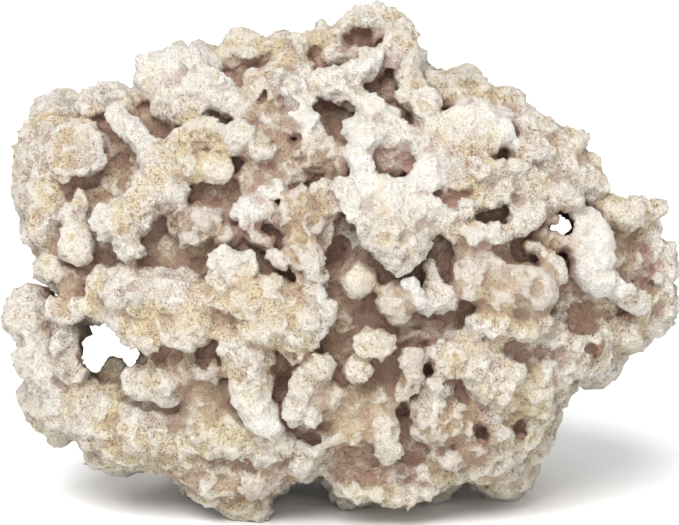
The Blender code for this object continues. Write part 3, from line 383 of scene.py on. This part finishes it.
# Forms that stand free in the hollows: column, row, radius, stand
knobs = {
    "finger": [(120, 119, 12, 12), (132, 131, 13, 14), (144, 144, 12, 14)],
    "yellowNodule": [(213, 168, 14, 7), (221, 172, 13, 7)],
    "brownEgg": [(230, 238, 12, -8)],
    "brownChip": [(254, 236, 9, -6), (266, 244, 9, -6)],
    "brightChip": [(274, 256, 8, 6), (282, 262, 6, 8)],
    "egg": [(362, 278, 16, 4), (356, 284, 16, 4)],
    "hungNodule": [(394, 300, 18, 8), (398, 310, 14, 8)],
    "whiteFinger": [(410, 284, 7, 14), (416, 296, 8, 14), (420, 304, 7, 12)],
    "noduleRoot": [(430, 302, 12, 4), (444, 300, 12, 6)],
    "pillar": [(428, 262, 6, 0), (430, 276, 7, 0), (434, 290, 8, 2)],
    "caveSwelling": [(396, 340, 9, -22), (416, 338, 9, -20), (432, 336, 8, -16)],
    "raggedKnob": [(368, 344, 14, 6), (380, 346, 13, 8)],
    "roundKnob": [(358, 368, 13, 6)],
    "hungKnob": [(413, 360, 12, 12), (411, 376, 11, 12)],
    "hungTip": [(404, 388, 7, 10), (400, 396, 5, 8)],
    "dot": [(431, 353, 7, 4)],
    "gapLump": [(415, 402, 9, -2)],
    "paleNodule": [(382, 422, 14, 8), (386, 442, 13, 8), (388, 454, 10, 4)],
    "lightStrip": [(528, 246, 7, 6), (540, 252, 7, 4), (550, 264, 8, 6), (558, 276, 8, 8)],
    "paleWindowEdge": [(547, 220, 8, -12)],
    "archTooth": [(118, 364, 7, -70), (114, 374, 12, -66), (122, 380, 10, -60)],
    "rightFoot": [(484, 476, 12, -60), (500, 474, 14, -66), (514, 470, 11, -60)],
}

# The back, on its own dome
backMasses = {
    "backShoulder": [(110, 190, 40, 0), (150, 150, 36, 4)],
    "backCrown": [(300, 90, 38, 4), (350, 100, 40, 8), (400, 90, 30, 0)],
    "backRidge": [(190, 260, 38, 10), (240, 220, 42, 14), (310, 200, 44, 16), (390, 210, 40, 10)],
    "backRight": [(470, 200, 38, 6), (520, 240, 36, 4), (560, 290, 30, 0), (500, 330, 34, 4)],
    "backBoss": [(320, 300, 40, 18), (370, 310, 36, 16)],
    "backLeftLow": [(180, 350, 36, 2), (220, 400, 34, 2)],
    "backSkirt": [(290, 390, 38, 8), (360, 400, 40, 10), (430, 390, 36, 4)],
    "backArm": [(60, 330, 22, -10), (60, 390, 26, -10), (110, 426, 24, -10)],
}
backHollows = {
    "backCave": [(270, 290, 18, 0), (262, 310, 16, -8)],
    "backSlot": [(330, 250, 12, 6), (352, 258, 13, 0), (376, 262, 11, 4)],
    "backBowl": [(440, 280, 22, 8), (452, 296, 16, 0)],
    "backPitHigh": [(250, 150, 14, 4), (262, 160, 10, -6)],
    "backPitRight": [(450, 150, 13, 2)],
    "backPitLow": [(310, 350, 13, 6), (322, 360, 10, -4)],
    "backPitLeft": [(170, 300, 14, 2)],
}

# Feet that carry the back: column, row, radius, depth behind the middle plane
feet = {
    "backLeftFoot": [(200, 436, 34, 80), (198, 456, 28, 100), (197, 467, 24, 108)],
    "backRightFoot": [(452, 430, 34, 80), (458, 452, 28, 95), (460, 464, 24, 100)],
    "middleFoot": [(384, 480, 20, 10), (384, 494, 15, 0)],
}

# What the rock's skin gets over its forms, in pixels where no unit is said
skin = {
    "seed": 7,
    "wobble": 0.09,
    "swell": 0.12,
    "stem": 46,
    "stemShare": 0.6,  # of the knob's radius, at the stem's end
    "beadStep": 0.45,  # between a form's balls, in radii
    "noduleLean": 1.6,  # how far their places lean outwards
    "noduleSink": 0.3,  # how deep they sit, in their own radii
    "pitSink": -0.1,  # the same for the fine pits
    "frontNodules": (420, (6, 12)),
    "backNodules": (420, (9, 20)),
    "fineFrontNodules": (700, (2.5, 7)),
    "fineBackNodules": (600, (4, 9)),
    "finePits": (900, (1.5, 4.5)),
    "voxel": 0.0011,  # metres
    "quickVoxel": 0.0018,
    "softness": 0.5,
    "triangles": 196000,
    "backCoarseness": 0.02,  # how much the shares below bear on the thinning
    "thinning": {"least": 0.3, "middle": 0.65, "rise": 4},  # shares on the face and the middle plane
    "formReach": (0.0015, 0.0035),  # metres off a form, and the width of the passage to the next
    "smoothRoughness": 0.65,
    "ridges": (0.5, 3),  # intensity and octaves of the ridged texture
    "roughness": [  # texture, size and height in metres, the level that stays where it is
        ("VORONOI", 0.013, -0.0028, 0.5),
        ("CLOUDS", 0.030, 0.005, 0.5),
        ("MUSGRAVE", 0.008, 0.0030, 0.36),
        ("VORONOI", 0.0052, -0.0012, 0.5),
        ("MUSGRAVE", 0.0030, 0.0018, 0.36),
    ],
}


def dome(column, row):
    across = (column - photo["columns"] / 2) / domeColumns
    up = (row - photo["rows"] / 2) / domeRows
    return domeRise * max(domeFloor, math.sqrt(max(0, 1 - across * across - up * up)))


def place(column, row, depth):  # the point seen at a pixel, depth pixels behind the middle plane
    depth *= pixel
    spread = pixel * (1 + depth / photo["eyeDistance"])
    across = (column - photo["columns"] / 2) * spread
    up = (photo["rows"] / 2 - row) * spread
    return Vector((across, depth, up))


def onFront(column, row, radius, stand):
    return place(column, row, radius - dome(column, row) - stand), radius * pixel


def cutFront(column, row, radius, stand):
    return place(column, row, -dome(column, row) - stand), radius * pixel


def onBack(column, row, radius, stand):
    return place(column, row, dome(column, row) + stand - radius), radius * pixel


def cutBack(column, row, radius, stand):
    return place(column, row, dome(column, row) + stand), radius * pixel


def atDepth(column, row, radius, depth):
    return place(column, row, depth), radius * pixel


def wobbled(middle, radius, chance):  # a little larger or smaller, a little off its place
    off = Vector([chance.gauss(0, 1) for _ in range(3)]) * radius * skin["wobble"]
    return middle + off, radius * chance.uniform(1 - skin["swell"], 1 + skin["swell"])


def beads(run, put, chance=None):  # a form's own balls, and those between them
    balls = [put(*knot) for knot in run]
    filled = balls[:1]
    for (start, small), (end, large) in zip(balls, balls[1:]):
        count = max(1, math.ceil((end - start).length / (skin["beadStep"] * min(small, large))))
        for i in range(1, count + 1):
            share = i / count
            filled.append((start.lerp(end, share), small + (large - small) * share))
    if chance:
        filled = [wobbled(*ball, chance) for ball in filled]
    return filled


def allBeads(table, put, steady=False):  # steady ones stay where they are put
    found = []  # each form has chances of its own, so a change to one leaves the rest
    for name, run in table.items():
        found += beads(run, put, None if steady else random.Random(name.lower()))
    return found


def stemmed(table, put):  # knobs, with stems that join them to the rock behind
    found = allBeads(table, put)
    for run in table.values():
        for column, row, radius, stand in run:
            end = (column, row, radius * skin["stemShare"], stand - skin["stem"])
            found += beads([(column, row, radius, stand), end], put)
    return found


def bedBeads(put, stray=0):
    chance = random.Random("bed")
    found = []
    for row, first, last in bed["rows"]:
        count = max(1, round((last - first) / bed["step"]))
        for i in range(count + 1):
            knot = (first + (last - first) * i / count, row, bed["radius"], bed["stand"])
            found.append(put(*[value + chance.uniform(-stray, stray) for value in knot]))
    return found


def rimBeads(chance):  # closes the skin's ends, between the front and the back
    straying = random.Random("rim")
    found = []
    for row, first, last in bed["rows"]:
        for depth in bed["rimDepths"]:
            for column, out in ((first, -1), (last, 1)):
                radius = bed["rimRadius"] * straying.uniform(*bed["rimShares"])
                column += out * (bed["rimRadius"] - radius)
                height = row + straying.uniform(-bed["stray"], bed["stray"])
                deep = depth + straying.uniform(-bed["rimStray"], bed["rimStray"])
                found.append(wobbled(*atDepth(column, height, radius, deep), chance))
    return found


def nodules(balls, count, radius, chance, sink=skin["noduleSink"]):  # small lumps on the balls' skins
    found = []
    while len(found) < count:
        middle, under = chance.choice(balls)
        side = 1 if middle.y > 0 else -1
        lean = (chance.gauss(0, 1), side * chance.uniform(0, skin["noduleLean"]), chance.gauss(0, 1))
        way = Vector(lean).normalized()
        lump = chance.uniform(*radius) * pixel
        found.append((middle + way * (under - lump * sink), lump))
    return found


def throughBeads():
    reach = domeRise * wayReach
    found = []
    for run in through.values():
        for column, row, radius in run:
            ends = [(column, row, radius, -reach), (column, row, radius * wayFlare, reach)]
            found += beads(ends, atDepth)
    return found


def makeActive(obj):
    bpy.ops.object.select_all(action="DESELECT")
    obj.select_set(True)
    bpy.context.view_layer.objects.active = obj


def applyAll(obj):  # works the whole stack into the mesh at once, which is quicker than one by one
    graph = bpy.context.evaluated_depsgraph_get()
    mesh = bpy.data.meshes.new_from_object(obj.evaluated_get(graph))
    obj.modifiers.clear()
    obj.data = mesh


def ballSeed():  # the one ball that every lump is a copy of
    bpy.ops.object.select_all(action="DESELECT")
    bpy.ops.mesh.primitive_ico_sphere_add(subdivisions=3, radius=1)
    seed = bpy.context.object
    corners = np.array([vert.co for vert in seed.data.vertices])
    faces = np.array([face.vertices[:] for face in seed.data.polygons])
    bpy.data.objects.remove(seed)
    return corners, faces


def ballPile(name, balls, seed):
    corners, faces = seed
    middles = np.array([middle for middle, _ in balls])
    radii = np.array([radius for _, radius in balls])
    points = corners * radii[:, None, None] + middles[:, None, :]
    copies = faces + (np.arange(len(balls)) * len(corners))[:, None, None]
    mesh = bpy.data.meshes.new(name)
    mesh.from_pydata(points.reshape(-1, 3).tolist(), [], copies.reshape(-1, 3).tolist())
    obj = bpy.data.objects.new(name, mesh)
    bpy.context.scene.collection.objects.link(obj)
    return obj


def addMelt(obj, voxel):
    melt = obj.modifiers.new("melt", "REMESH")
    melt.mode = "VOXEL"
    melt.voxel_size = voxel


def addSoften(obj):
    soften = obj.modifiers.new("soften", "SMOOTH")
    soften.factor = skin["softness"]


def addRoughness(obj, kind, size, height, level):
    texture = bpy.data.textures.new("roughness", kind)
    texture.noise_scale = size
    if kind == "MUSGRAVE":
        texture.musgrave_type = "RIDGED_MULTIFRACTAL"
        texture.noise_intensity, texture.octaves = skin["ridges"]
    roughen = obj.modifiers.new("roughen", "DISPLACE")
    roughen.texture = texture
    roughen.texture_coords = "LOCAL"
    roughen.vertex_group = "rough"
    roughen.strength = height
    roughen.mid_level = level


def addBoolean(obj, other, operation):
    boolean = obj.modifiers.new("boolean", "BOOLEAN")
    boolean.object = other
    boolean.operation = operation
    boolean.solver = "MANIFOLD"


def cutAway(obj, balls, seed, voxel):
    cutter = ballPile("space", balls, seed)
    addMelt(cutter, voxel)
    applyAll(cutter)
    addBoolean(obj, cutter, "DIFFERENCE")
    applyAll(obj)
    bpy.data.objects.remove(cutter)


def dropCrumbs(obj):  # keeps the largest island of the mesh
    mesh = obj.data
    label = np.arange(len(mesh.vertices))
    edges = np.array([edge.vertices[:] for edge in mesh.edges])
    while True:
        low = np.minimum(label[edges[:, 0]], label[edges[:, 1]])
        fresh = label.copy()
        np.minimum.at(fresh, edges[:, 0], low)
        np.minimum.at(fresh, edges[:, 1], low)
        fresh = fresh[fresh]
        if (fresh == label).all():
            break
        label = fresh
    names, counts = np.unique(label, return_counts=True)
    crumbs = label != names[counts.argmax()]
    makeActive(obj)
    bpy.ops.object.mode_set(mode="EDIT")
    bpy.ops.mesh.select_all(action="DESELECT")
    bpy.ops.object.mode_set(mode="OBJECT")
    mesh.vertices.foreach_set("select", crumbs)
    bpy.ops.object.mode_set(mode="EDIT")
    bpy.ops.mesh.delete(type="VERT")
    bpy.ops.object.mode_set(mode="OBJECT")


def lighten(obj, triangles, coarseness):  # thins the mesh, the back more than the face
    back = obj.vertex_groups.new(name="back")
    shares = skin["thinning"]
    for vert in obj.data.vertices:
        share = shares["middle"] + vert.co.y / domeDepth * shares["rise"]
        back.add([vert.index], min(1, max(shares["least"], share)), "REPLACE")
    now = sum(len(face.vertices) - 2 for face in obj.data.polygons)
    if now > triangles:
        thin = obj.modifiers.new("thin", "DECIMATE")
        thin.ratio = triangles / now
        thin.vertex_group = "back"
        thin.vertex_group_factor = coarseness
        applyAll(obj)
    obj.vertex_groups.clear()


def formShare(names, points):  # 1 on the forms named, 0 away from them
    share = np.zeros(len(points))
    for name in names:
        for middle, radius in beads(masses.get(name) or knobs[name], onFront):
            away = np.linalg.norm(points - np.array(middle), axis=1) - radius
            near = 1 - (away - skin["formReach"][0]) / skin["formReach"][1]
            share = np.maximum(share, np.clip(near, 0, 1))
    return share


def paintForms(rock):
    points = np.array([vert.co for vert in rock.data.vertices])
    for kind, names in faces.items():
        attribute = rock.data.attributes.new(kind, "FLOAT", "POINT")
        attribute.data.foreach_set("value", formShare(names, points).astype(np.float32))


def sculptRock():
    chance = random.Random(skin["seed"])
    seed = ballSeed()
    voxel = skin["voxel"]
    front = allBeads(masses, onFront)
    back = allBeads(backMasses, onBack) + bedBeads(onBack, bed["stray"]) + rimBeads(chance)
    balls = allBeads(core, atDepth, steady=True) + bedBeads(onFront) + front + back
    balls += allBeads(feet, atDepth)
    coarse = nodules(front, *skin["frontNodules"], chance) + nodules(back, *skin["backNodules"], chance)
    spaces = allBeads(hollows, cutFront) + allBeads(backHollows, cutBack)
    free = stemmed(knobs, onFront)
    fine = nodules(front + coarse, *skin["fineFrontNodules"], chance)
    fine += nodules(back + coarse, *skin["fineBackNodules"], chance)
    pits = nodules(front + coarse + free, *skin["finePits"], chance, skin["pitSink"])
    print("lumps:", len(balls) + len(coarse) + len(fine), "spaces:", len(spaces) + len(pits))
    rock = ballPile("reefRock", balls + coarse + fine, seed)
    addMelt(rock, voxel)
    addSoften(rock)
    applyAll(rock)
    cutAway(rock, spaces + throughBeads(), seed, voxel)
    freeKnobs = ballPile("freeKnobs", free, seed)
    addMelt(freeKnobs, voxel)
    applyAll(freeKnobs)
    addBoolean(rock, freeKnobs, "UNION")
    applyAll(rock)
    bpy.data.objects.remove(freeKnobs)
    cutAway(rock, pits, seed, voxel)
    addMelt(rock, voxel)
    addSoften(rock)
    applyAll(rock)
    share = formShare(faces["smoothness"], np.array([vert.co for vert in rock.data.vertices]))
    rough = rock.vertex_groups.new(name="rough")
    for index, value in enumerate(1 - share * (1 - skin["smoothRoughness"])):
        rough.add([index], value, "REPLACE")
    for layer in skin["roughness"]:
        addRoughness(rock, *layer)
    applyAll(rock)
    print("sculpted:", len(rock.data.polygons), "faces")
    rock.vertex_groups.clear()
    dropCrumbs(rock)
    lighten(rock, skin["triangles"], skin["backCoarseness"])
    paintForms(rock)
    print("thinned:", len(rock.data.polygons), "faces")
    return rock


def standUp(rock):  # tilts it as it stands, cuts its feet flat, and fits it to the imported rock's box
    rock.data.transform(Matrix.Rotation(-photo["lookDown"], 4, "X"))
    makeActive(rock)
    bpy.ops.object.mode_set(mode="EDIT")
    bpy.ops.mesh.select_all(action="SELECT")
    ground = (0, 0, photo["ground"])
    bpy.ops.mesh.bisect(plane_co=ground, plane_no=(0, 0, 1), clear_inner=True, use_fill=True)
    bpy.ops.mesh.select_all(action="SELECT")
    bpy.ops.mesh.quads_convert_to_tris()
    bpy.ops.object.mode_set(mode="OBJECT")
    dropCrumbs(rock)
    points = np.array([vert.co for vert in rock.data.vertices])
    low, high = points.min(0), points.max(0)
    cadLow, cadHigh = (np.array(corner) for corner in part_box("reef_rock"))
    scale = (cadHigh - cadLow) / (high - low)
    print("fitted to the box by", scale.round(4))
    points = (points - low) * scale + cadLow
    rock.data.vertices.foreach_set("co", points.ravel())
    rock.data.update()
    return Vector(cadLow - low * scale)  # where the photograph's middle is now


def neighbourMean(points, edges, degree):
    total = np.zeros_like(points)
    np.add.at(total, edges[:, 0], points[edges[:, 1]])
    np.add.at(total, edges[:, 1], points[edges[:, 0]])
    return total / degree


def standOff(points, normals, edges, degree, rounds):  # how far points stand off their surroundings
    smooth = points
    for _ in range(rounds):
        smooth = neighbourMean(smooth, edges, degree[:, None])
    return ((points - smooth) * normals).sum(1)


# How the hollows are found: lengths in metres
search = {
    "rays": 14,
    "quickRays": 8,
    "reach": 0.045,
    "near": 0.010,  # within which a hit makes the place crowded
    "start": 0.0006,  # off the surface
    "spread": 1.02,  # weight of the surface's normal against the ray's random way
    "hitWorth": 0.7,  # how open a place counts, at most, on a ray that hits
    "relief": (12, 0.0015),  # rounds of smoothing, and the height that counts as 1
    "recess": (220, 0.010),
}


def paintHollows(rock):  # how open the surface is, how far it stands out and how deep it lies
    mesh = rock.data
    points = np.array([vert.co for vert in mesh.vertices])
    tree = BVHTree.FromPolygons(points.tolist(), [face.vertices for face in mesh.polygons])
    normals = np.array([vert.normal for vert in mesh.vertices])
    edges = np.array([edge.vertices[:] for edge in mesh.edges])
    degree = np.bincount(edges.ravel(), minlength=len(points))
    chance = np.random.default_rng(skin["seed"])
    rays = search["rays"]
    reach = search["reach"]
    opened = np.zeros(len(points))
    crowded = np.zeros(len(points))
    ways = chance.normal(size=(len(points), rays, 3))
    ways /= np.linalg.norm(ways, axis=2, keepdims=True)
    ways = ways + normals[:, None, :] * search["spread"]
    ways /= np.linalg.norm(ways, axis=2, keepdims=True)
    starts = points + normals * search["start"]
    for i in range(len(points)):
        start = Vector(starts[i])
        for way in ways[i]:
            hit = tree.ray_cast(start, Vector(way), reach)
            opened[i] += 1 if hit[0] is None else (hit[3] / reach) ** 0.5 * search["hitWorth"]
            crowded[i] += 0 if hit[0] is None else max(0, 1 - hit[3] / search["near"])
    opened /= rays
    crowded /= rays
    for _ in range(3):
        opened = 0.5 * opened + 0.5 * neighbourMean(opened, edges, degree)
    crowded = 0.5 * crowded + 0.5 * neighbourMean(crowded, edges, degree)
    painted = {"openness": opened, "crowding": crowded}
    for name, side in (("relief", 1), ("recess", -1)):
        rounds, height = search[name]
        painted[name] = side * standOff(points, normals, edges, degree, rounds) / height
    for name, values in painted.items():
        attribute = mesh.attributes.new(name, "FLOAT", "POINT")
        attribute.data.foreach_set("value", values.astype(np.float32))
    print("painted hollows: openness", opened.min().round(2), "to", opened.max().round(2))


# Colours are linear
stoneLook = {
    "chalk": (0.98, 0.94, 0.87, 1),
    "white": (0.89, 0.83, 0.73, 1),
    "cream": (0.82, 0.69, 0.45, 1),
    # greener, darker tint towards the ground
    "lilac": (0.75, 0.63, 0.575, 1),
    "lowGreen": (0.72, 0.65, 0.41, 1),
    # tan crust and dust, also the painted shade where it lies deep
    "tanAndShade": (0.48, 0.335, 0.22, 1),
    # brown stains, also the painted shade in shut-in places and creases
    "brown": (0.48, 0.28, 0.225, 1),
    # painted shadow for the deepest hollows and narrow gaps
    "shadeDark": (0.15, 0.072, 0.06, 1),
    # grit specks, also the painted shade inside the pores
    "grit": (0.27, 0.175, 0.12, 1),
    "grainSize": 1500,
    "gritSize": 1100,
    "poreSize": 520,
    "patchSize": 45,
    "formTints": (  # attribute, colour, share
        ("whiteness", "chalk", 0.9),
        ("yellowness", "cream", 0.9),
        ("tanness", "tanAndShade", 0.85),
        ("brownStainAndShade", "brown", 0.9),
    ),
    "bumps": (0.0030, 0.0008, 0.0015),  # metres: lumps, pores, grain
}


class Nodes:  # short ways to add and link a material's nodes
    def __init__(self, material):
        self.tree = material.node_tree
        self.shader = self.tree.nodes["Principled BSDF"]
        coordinates = self.tree.nodes.new("ShaderNodeTexCoord")
        self.place = coordinates.outputs["Object"]

    def link(self, value, socket):
        if isinstance(value, bpy.types.NodeSocket):
            self.tree.links.new(value, socket)
        else:
            socket.default_value = value

    def noise(self, scale, detail=4, rough=0.55, distortion=0.0):
        node = self.tree.nodes.new("ShaderNodeTexNoise")
        self.link(self.place, node.inputs["Vector"])
        node.inputs["Scale"].default_value = scale
        node.inputs["Detail"].default_value = detail
        node.inputs["Roughness"].default_value = rough
        node.inputs["Distortion"].default_value = distortion
        return node.outputs["Fac"]

    def cells(self, scale):
        node = self.tree.nodes.new("ShaderNodeTexVoronoi")
        self.link(self.place, node.inputs["Vector"])
        node.inputs["Scale"].default_value = scale
        return node.outputs["Distance"]

    def attribute(self, name):
        node = self.tree.nodes.new("ShaderNodeAttribute")
        node.attribute_name = name
        return node.outputs["Fac"]

    def ramp(self, value, low, high, first=0.0, last=1.0):
        node = self.tree.nodes.new("ShaderNodeMapRange")
        node.interpolation_type = "SMOOTHSTEP"
        self.link(value, node.inputs["Value"])
        node.inputs["From Min"].default_value = low
        node.inputs["From Max"].default_value = high
        node.inputs["To Min"].default_value = first
        node.inputs["To Max"].default_value = last
        return node.outputs["Result"]

    def math(self, operation, first, second):
        node = self.tree.nodes.new("ShaderNodeMath")
        node.operation = operation
        self.link(first, node.inputs[0])
        self.link(second, node.inputs[1])
        return node.outputs["Value"]

    def mix(self, share, first, second):
        node = self.tree.nodes.new("ShaderNodeMix")
        node.data_type = "RGBA"
        self.link(share, node.inputs["Factor"])
        self.link(first, node.inputs["A"])
        self.link(second, node.inputs["B"])
        return node.outputs["Result"]

    def bump(self, height, distance, normal=None):
        node = self.tree.nodes.new("ShaderNodeBump")
        node.inputs["Distance"].default_value = distance
        self.link(height, node.inputs["Height"])
        if normal is not None:
            self.link(normal, node.inputs["Normal"])
        return node.outputs["Normal"]


def makeStone():
    material = bpy.data.materials.new("reefStone")
    material.use_nodes = True
    make = Nodes(material)
    look = stoneLook
    openness = make.attribute("openness")
    relief = make.attribute("relief")
    recess = make.attribute("recess")
    crowding = make.attribute("crowding")
    heights = make.tree.nodes.new("ShaderNodeSeparateXYZ")
    make.link(make.place, heights.inputs["Vector"])
    patches = make.noise(look["patchSize"], 5, 0.6, 0.4)
    stains = make.noise(look["patchSize"] * 2.3, 6, 0.65, 0.6)
    ragged = make.noise(look["poreSize"] * 0.5, 4, 0.7)
    grain = make.noise(look["grainSize"], 3, 0.75)
    grit = make.noise(look["gritSize"], 2, 0.6)
    pores = make.cells(look["poreSize"])
    # the crust, white with cream patches and lilac stains, and greener and darker towards the ground
    colour = make.mix(make.ramp(patches, 0.44, 0.60), look["white"], look["cream"])
    colour = make.mix(make.ramp(stains, 0.48, 0.66, 0, 0.8), colour, look["lilac"])
    low = make.ramp(heights.outputs["Z"], 0.02, 0.11, 0.5, 0)
    low = make.math("MULTIPLY", low, make.ramp(patches, 0.4, 0.6, 0.3, 1))
    colour = make.mix(low, colour, look["lowGreen"])
    # the forms that look different, in blotches
    blotch = make.ramp(stains, 0.36, 0.58, 0.35, 1)
    for kind, tint, share in look["formTints"]:
        there = make.math("MULTIPLY", make.attribute(kind), make.math("MULTIPLY", blotch, share))
        colour = make.mix(there, colour, look[tint])
    # painted shade with some real staining: tan where it lies deep, brown and dark where it is shut in,
    # with a ragged edge
    sunk = make.math("ADD", recess, make.math("MULTIPLY", make.math("SUBTRACT", ragged, 0.5), 0.8))
    colour = make.mix(make.ramp(sunk, 0.06, 0.55, 0, 0.88), colour, look["tanAndShade"])
    shut = make.math("ADD", openness, make.math("MULTIPLY", make.math("SUBTRACT", ragged, 0.5), 0.25))
    colour = make.mix(make.ramp(shut, 0.27, 0.69, 1, 0), colour, look["brown"])
    # painted shadow, darkest deep in the hollows and in narrow gaps under edges
    colour = make.mix(make.ramp(openness, 0.06, 0.24, 0.9, 0), colour, look["shadeDark"])
    colour = make.mix(make.ramp(crowding, 0.30, 0.65, 0, 0.6), colour, look["shadeDark"])
    # specks and dust, and pores painted dark as the shade inside them, fewer on smooth and on white forms
    plain = make.ramp(make.attribute("whiteness"), 0, 1, 1, 0.5)
    rough = make.math("MULTIPLY", make.ramp(make.attribute("smoothness"), 0, 1, 1, 0.6), plain)
    specks = make.math("MULTIPLY", make.ramp(grit, 0.53, 0.63), make.ramp(stains, 0.38, 0.58, 0.2, 0.95))
    colour = make.mix(make.math("MULTIPLY", specks, rough), colour, look["grit"])
    dust = make.math("MULTIPLY", make.ramp(grain, 0.36, 0.58, 0.6, 0), rough)
    colour = make.mix(dust, colour, look["tanAndShade"])
    # painted shade in small creases
    colour = make.mix(make.ramp(relief, -0.9, -0.2, 0.5, 0), colour, look["brown"])
    # painted shade inside the pores
    poreShade = make.math("MULTIPLY", make.ramp(pores, 0.10, 0.26, 0.9, 0), make.ramp(patches, 0.42, 0.55))
    colour = make.mix(make.math("MULTIPLY", poreShade, rough), colour, look["grit"])
    # lighter on raised edges that lie open
    bright = make.math("MULTIPLY", make.ramp(relief, 0.15, 0.9, 0, 0.5), make.ramp(openness, 0.5, 0.8))
    colour = make.mix(bright, colour, look["chalk"])
    make.link(colour, make.shader.inputs["Base Color"])
    normal = make.bump(make.noise(look["poreSize"] * 0.7, 5, 0.75), look["bumps"][0])
    normal = make.bump(make.ramp(pores, 0.0, 0.45), look["bumps"][1], normal)
    normal = make.bump(grain, look["bumps"][2], normal)
    make.link(normal, make.shader.inputs["Normal"])
    make.shader.inputs["Roughness"].default_value = 0.93
    make.shader.inputs["Specular IOR Level"].default_value = 0.2
    return material


floorLook = {"size": 6.0, "colour": (0.93, 0.93, 0.93, 1), "dust": (0.90, 0.90, 0.90, 1)}


def makeFloor():
    bpy.ops.object.select_all(action="DESELECT")
    bpy.ops.mesh.primitive_plane_add(size=floorLook["size"])
    floor = bpy.context.object
    floor.name = "floor"
    material = bpy.data.materials.new("paleFloor")
    material.use_nodes = True
    make = Nodes(material)
    colour = make.mix(make.noise(3), floorLook["colour"], floorLook["dust"])
    make.link(colour, make.shader.inputs["Base Color"])
    make.shader.inputs["Roughness"].default_value = 0.9
    floor.data.materials.append(material)


studio = {
    "world": 0.76,
    "sun": {"left": 18, "height": 48, "softness": 40, "power": 3.9},
    "fill": {"place": (0.1, -1.6, 0.1), "size": 1.2, "power": 14.0},
}


def lightStudio(target):
    world = bpy.data.worlds.new("studio")
    world.use_nodes = True
    world.node_tree.nodes["Background"].inputs["Color"].default_value = (1, 1, 1, 1)
    world.node_tree.nodes["Background"].inputs["Strength"].default_value = studio["world"]
    bpy.context.scene.world = world
    look = studio["sun"]
    left, height = math.radians(look["left"]), math.radians(look["height"])
    way = Vector((-math.sin(left) * math.cos(height), -math.cos(left) * math.cos(height), math.sin(height)))
    bpy.ops.object.light_add(type="SUN", location=target + way)
    sun = bpy.context.object
    sun.name = "sun"
    sun.data.energy = look["power"]
    sun.data.angle = math.radians(look["softness"])
    sun.rotation_euler = way.to_track_quat("Z", "Y").to_euler()
    look = studio["fill"]
    bpy.ops.object.light_add(type="AREA", location=look["place"])
    fill = bpy.context.object
    fill.name = "fill"
    fill.data.size = look["size"]
    fill.data.energy = look["power"]
    fill.rotation_euler = (Vector(look["place"]) - target).to_track_quat("Z", "Y").to_euler()
    bpy.context.scene.view_settings.view_transform = "Standard"


def addCamera(middle):
    tilt = photo["lookDown"]
    away = Vector((0, -math.cos(tilt), math.sin(tilt)))
    bpy.ops.object.camera_add(location=middle + away * photo["eyeDistance"])
    camera = bpy.context.object
    camera.name = "camera"
    camera.rotation_euler = away.to_track_quat("Z", "Y").to_euler()
    camera.data.sensor_width = 36
    camera.data.lens = 36 * photo["eyeDistance"] / (photo["columns"] * pixel)
    bpy.context.scene.camera = camera


rock = sculptRock()
photoMiddle = standUp(rock)
paintHollows(rock)
rock.data.materials.clear()
rock.data.materials.append(makeStone())
rock.data.shade_smooth()
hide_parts("reef_rock")
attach(rock, "root")
print("rock finished")

makeFloor()
lightStudio(photoMiddle)
addCamera(photoMiddle)
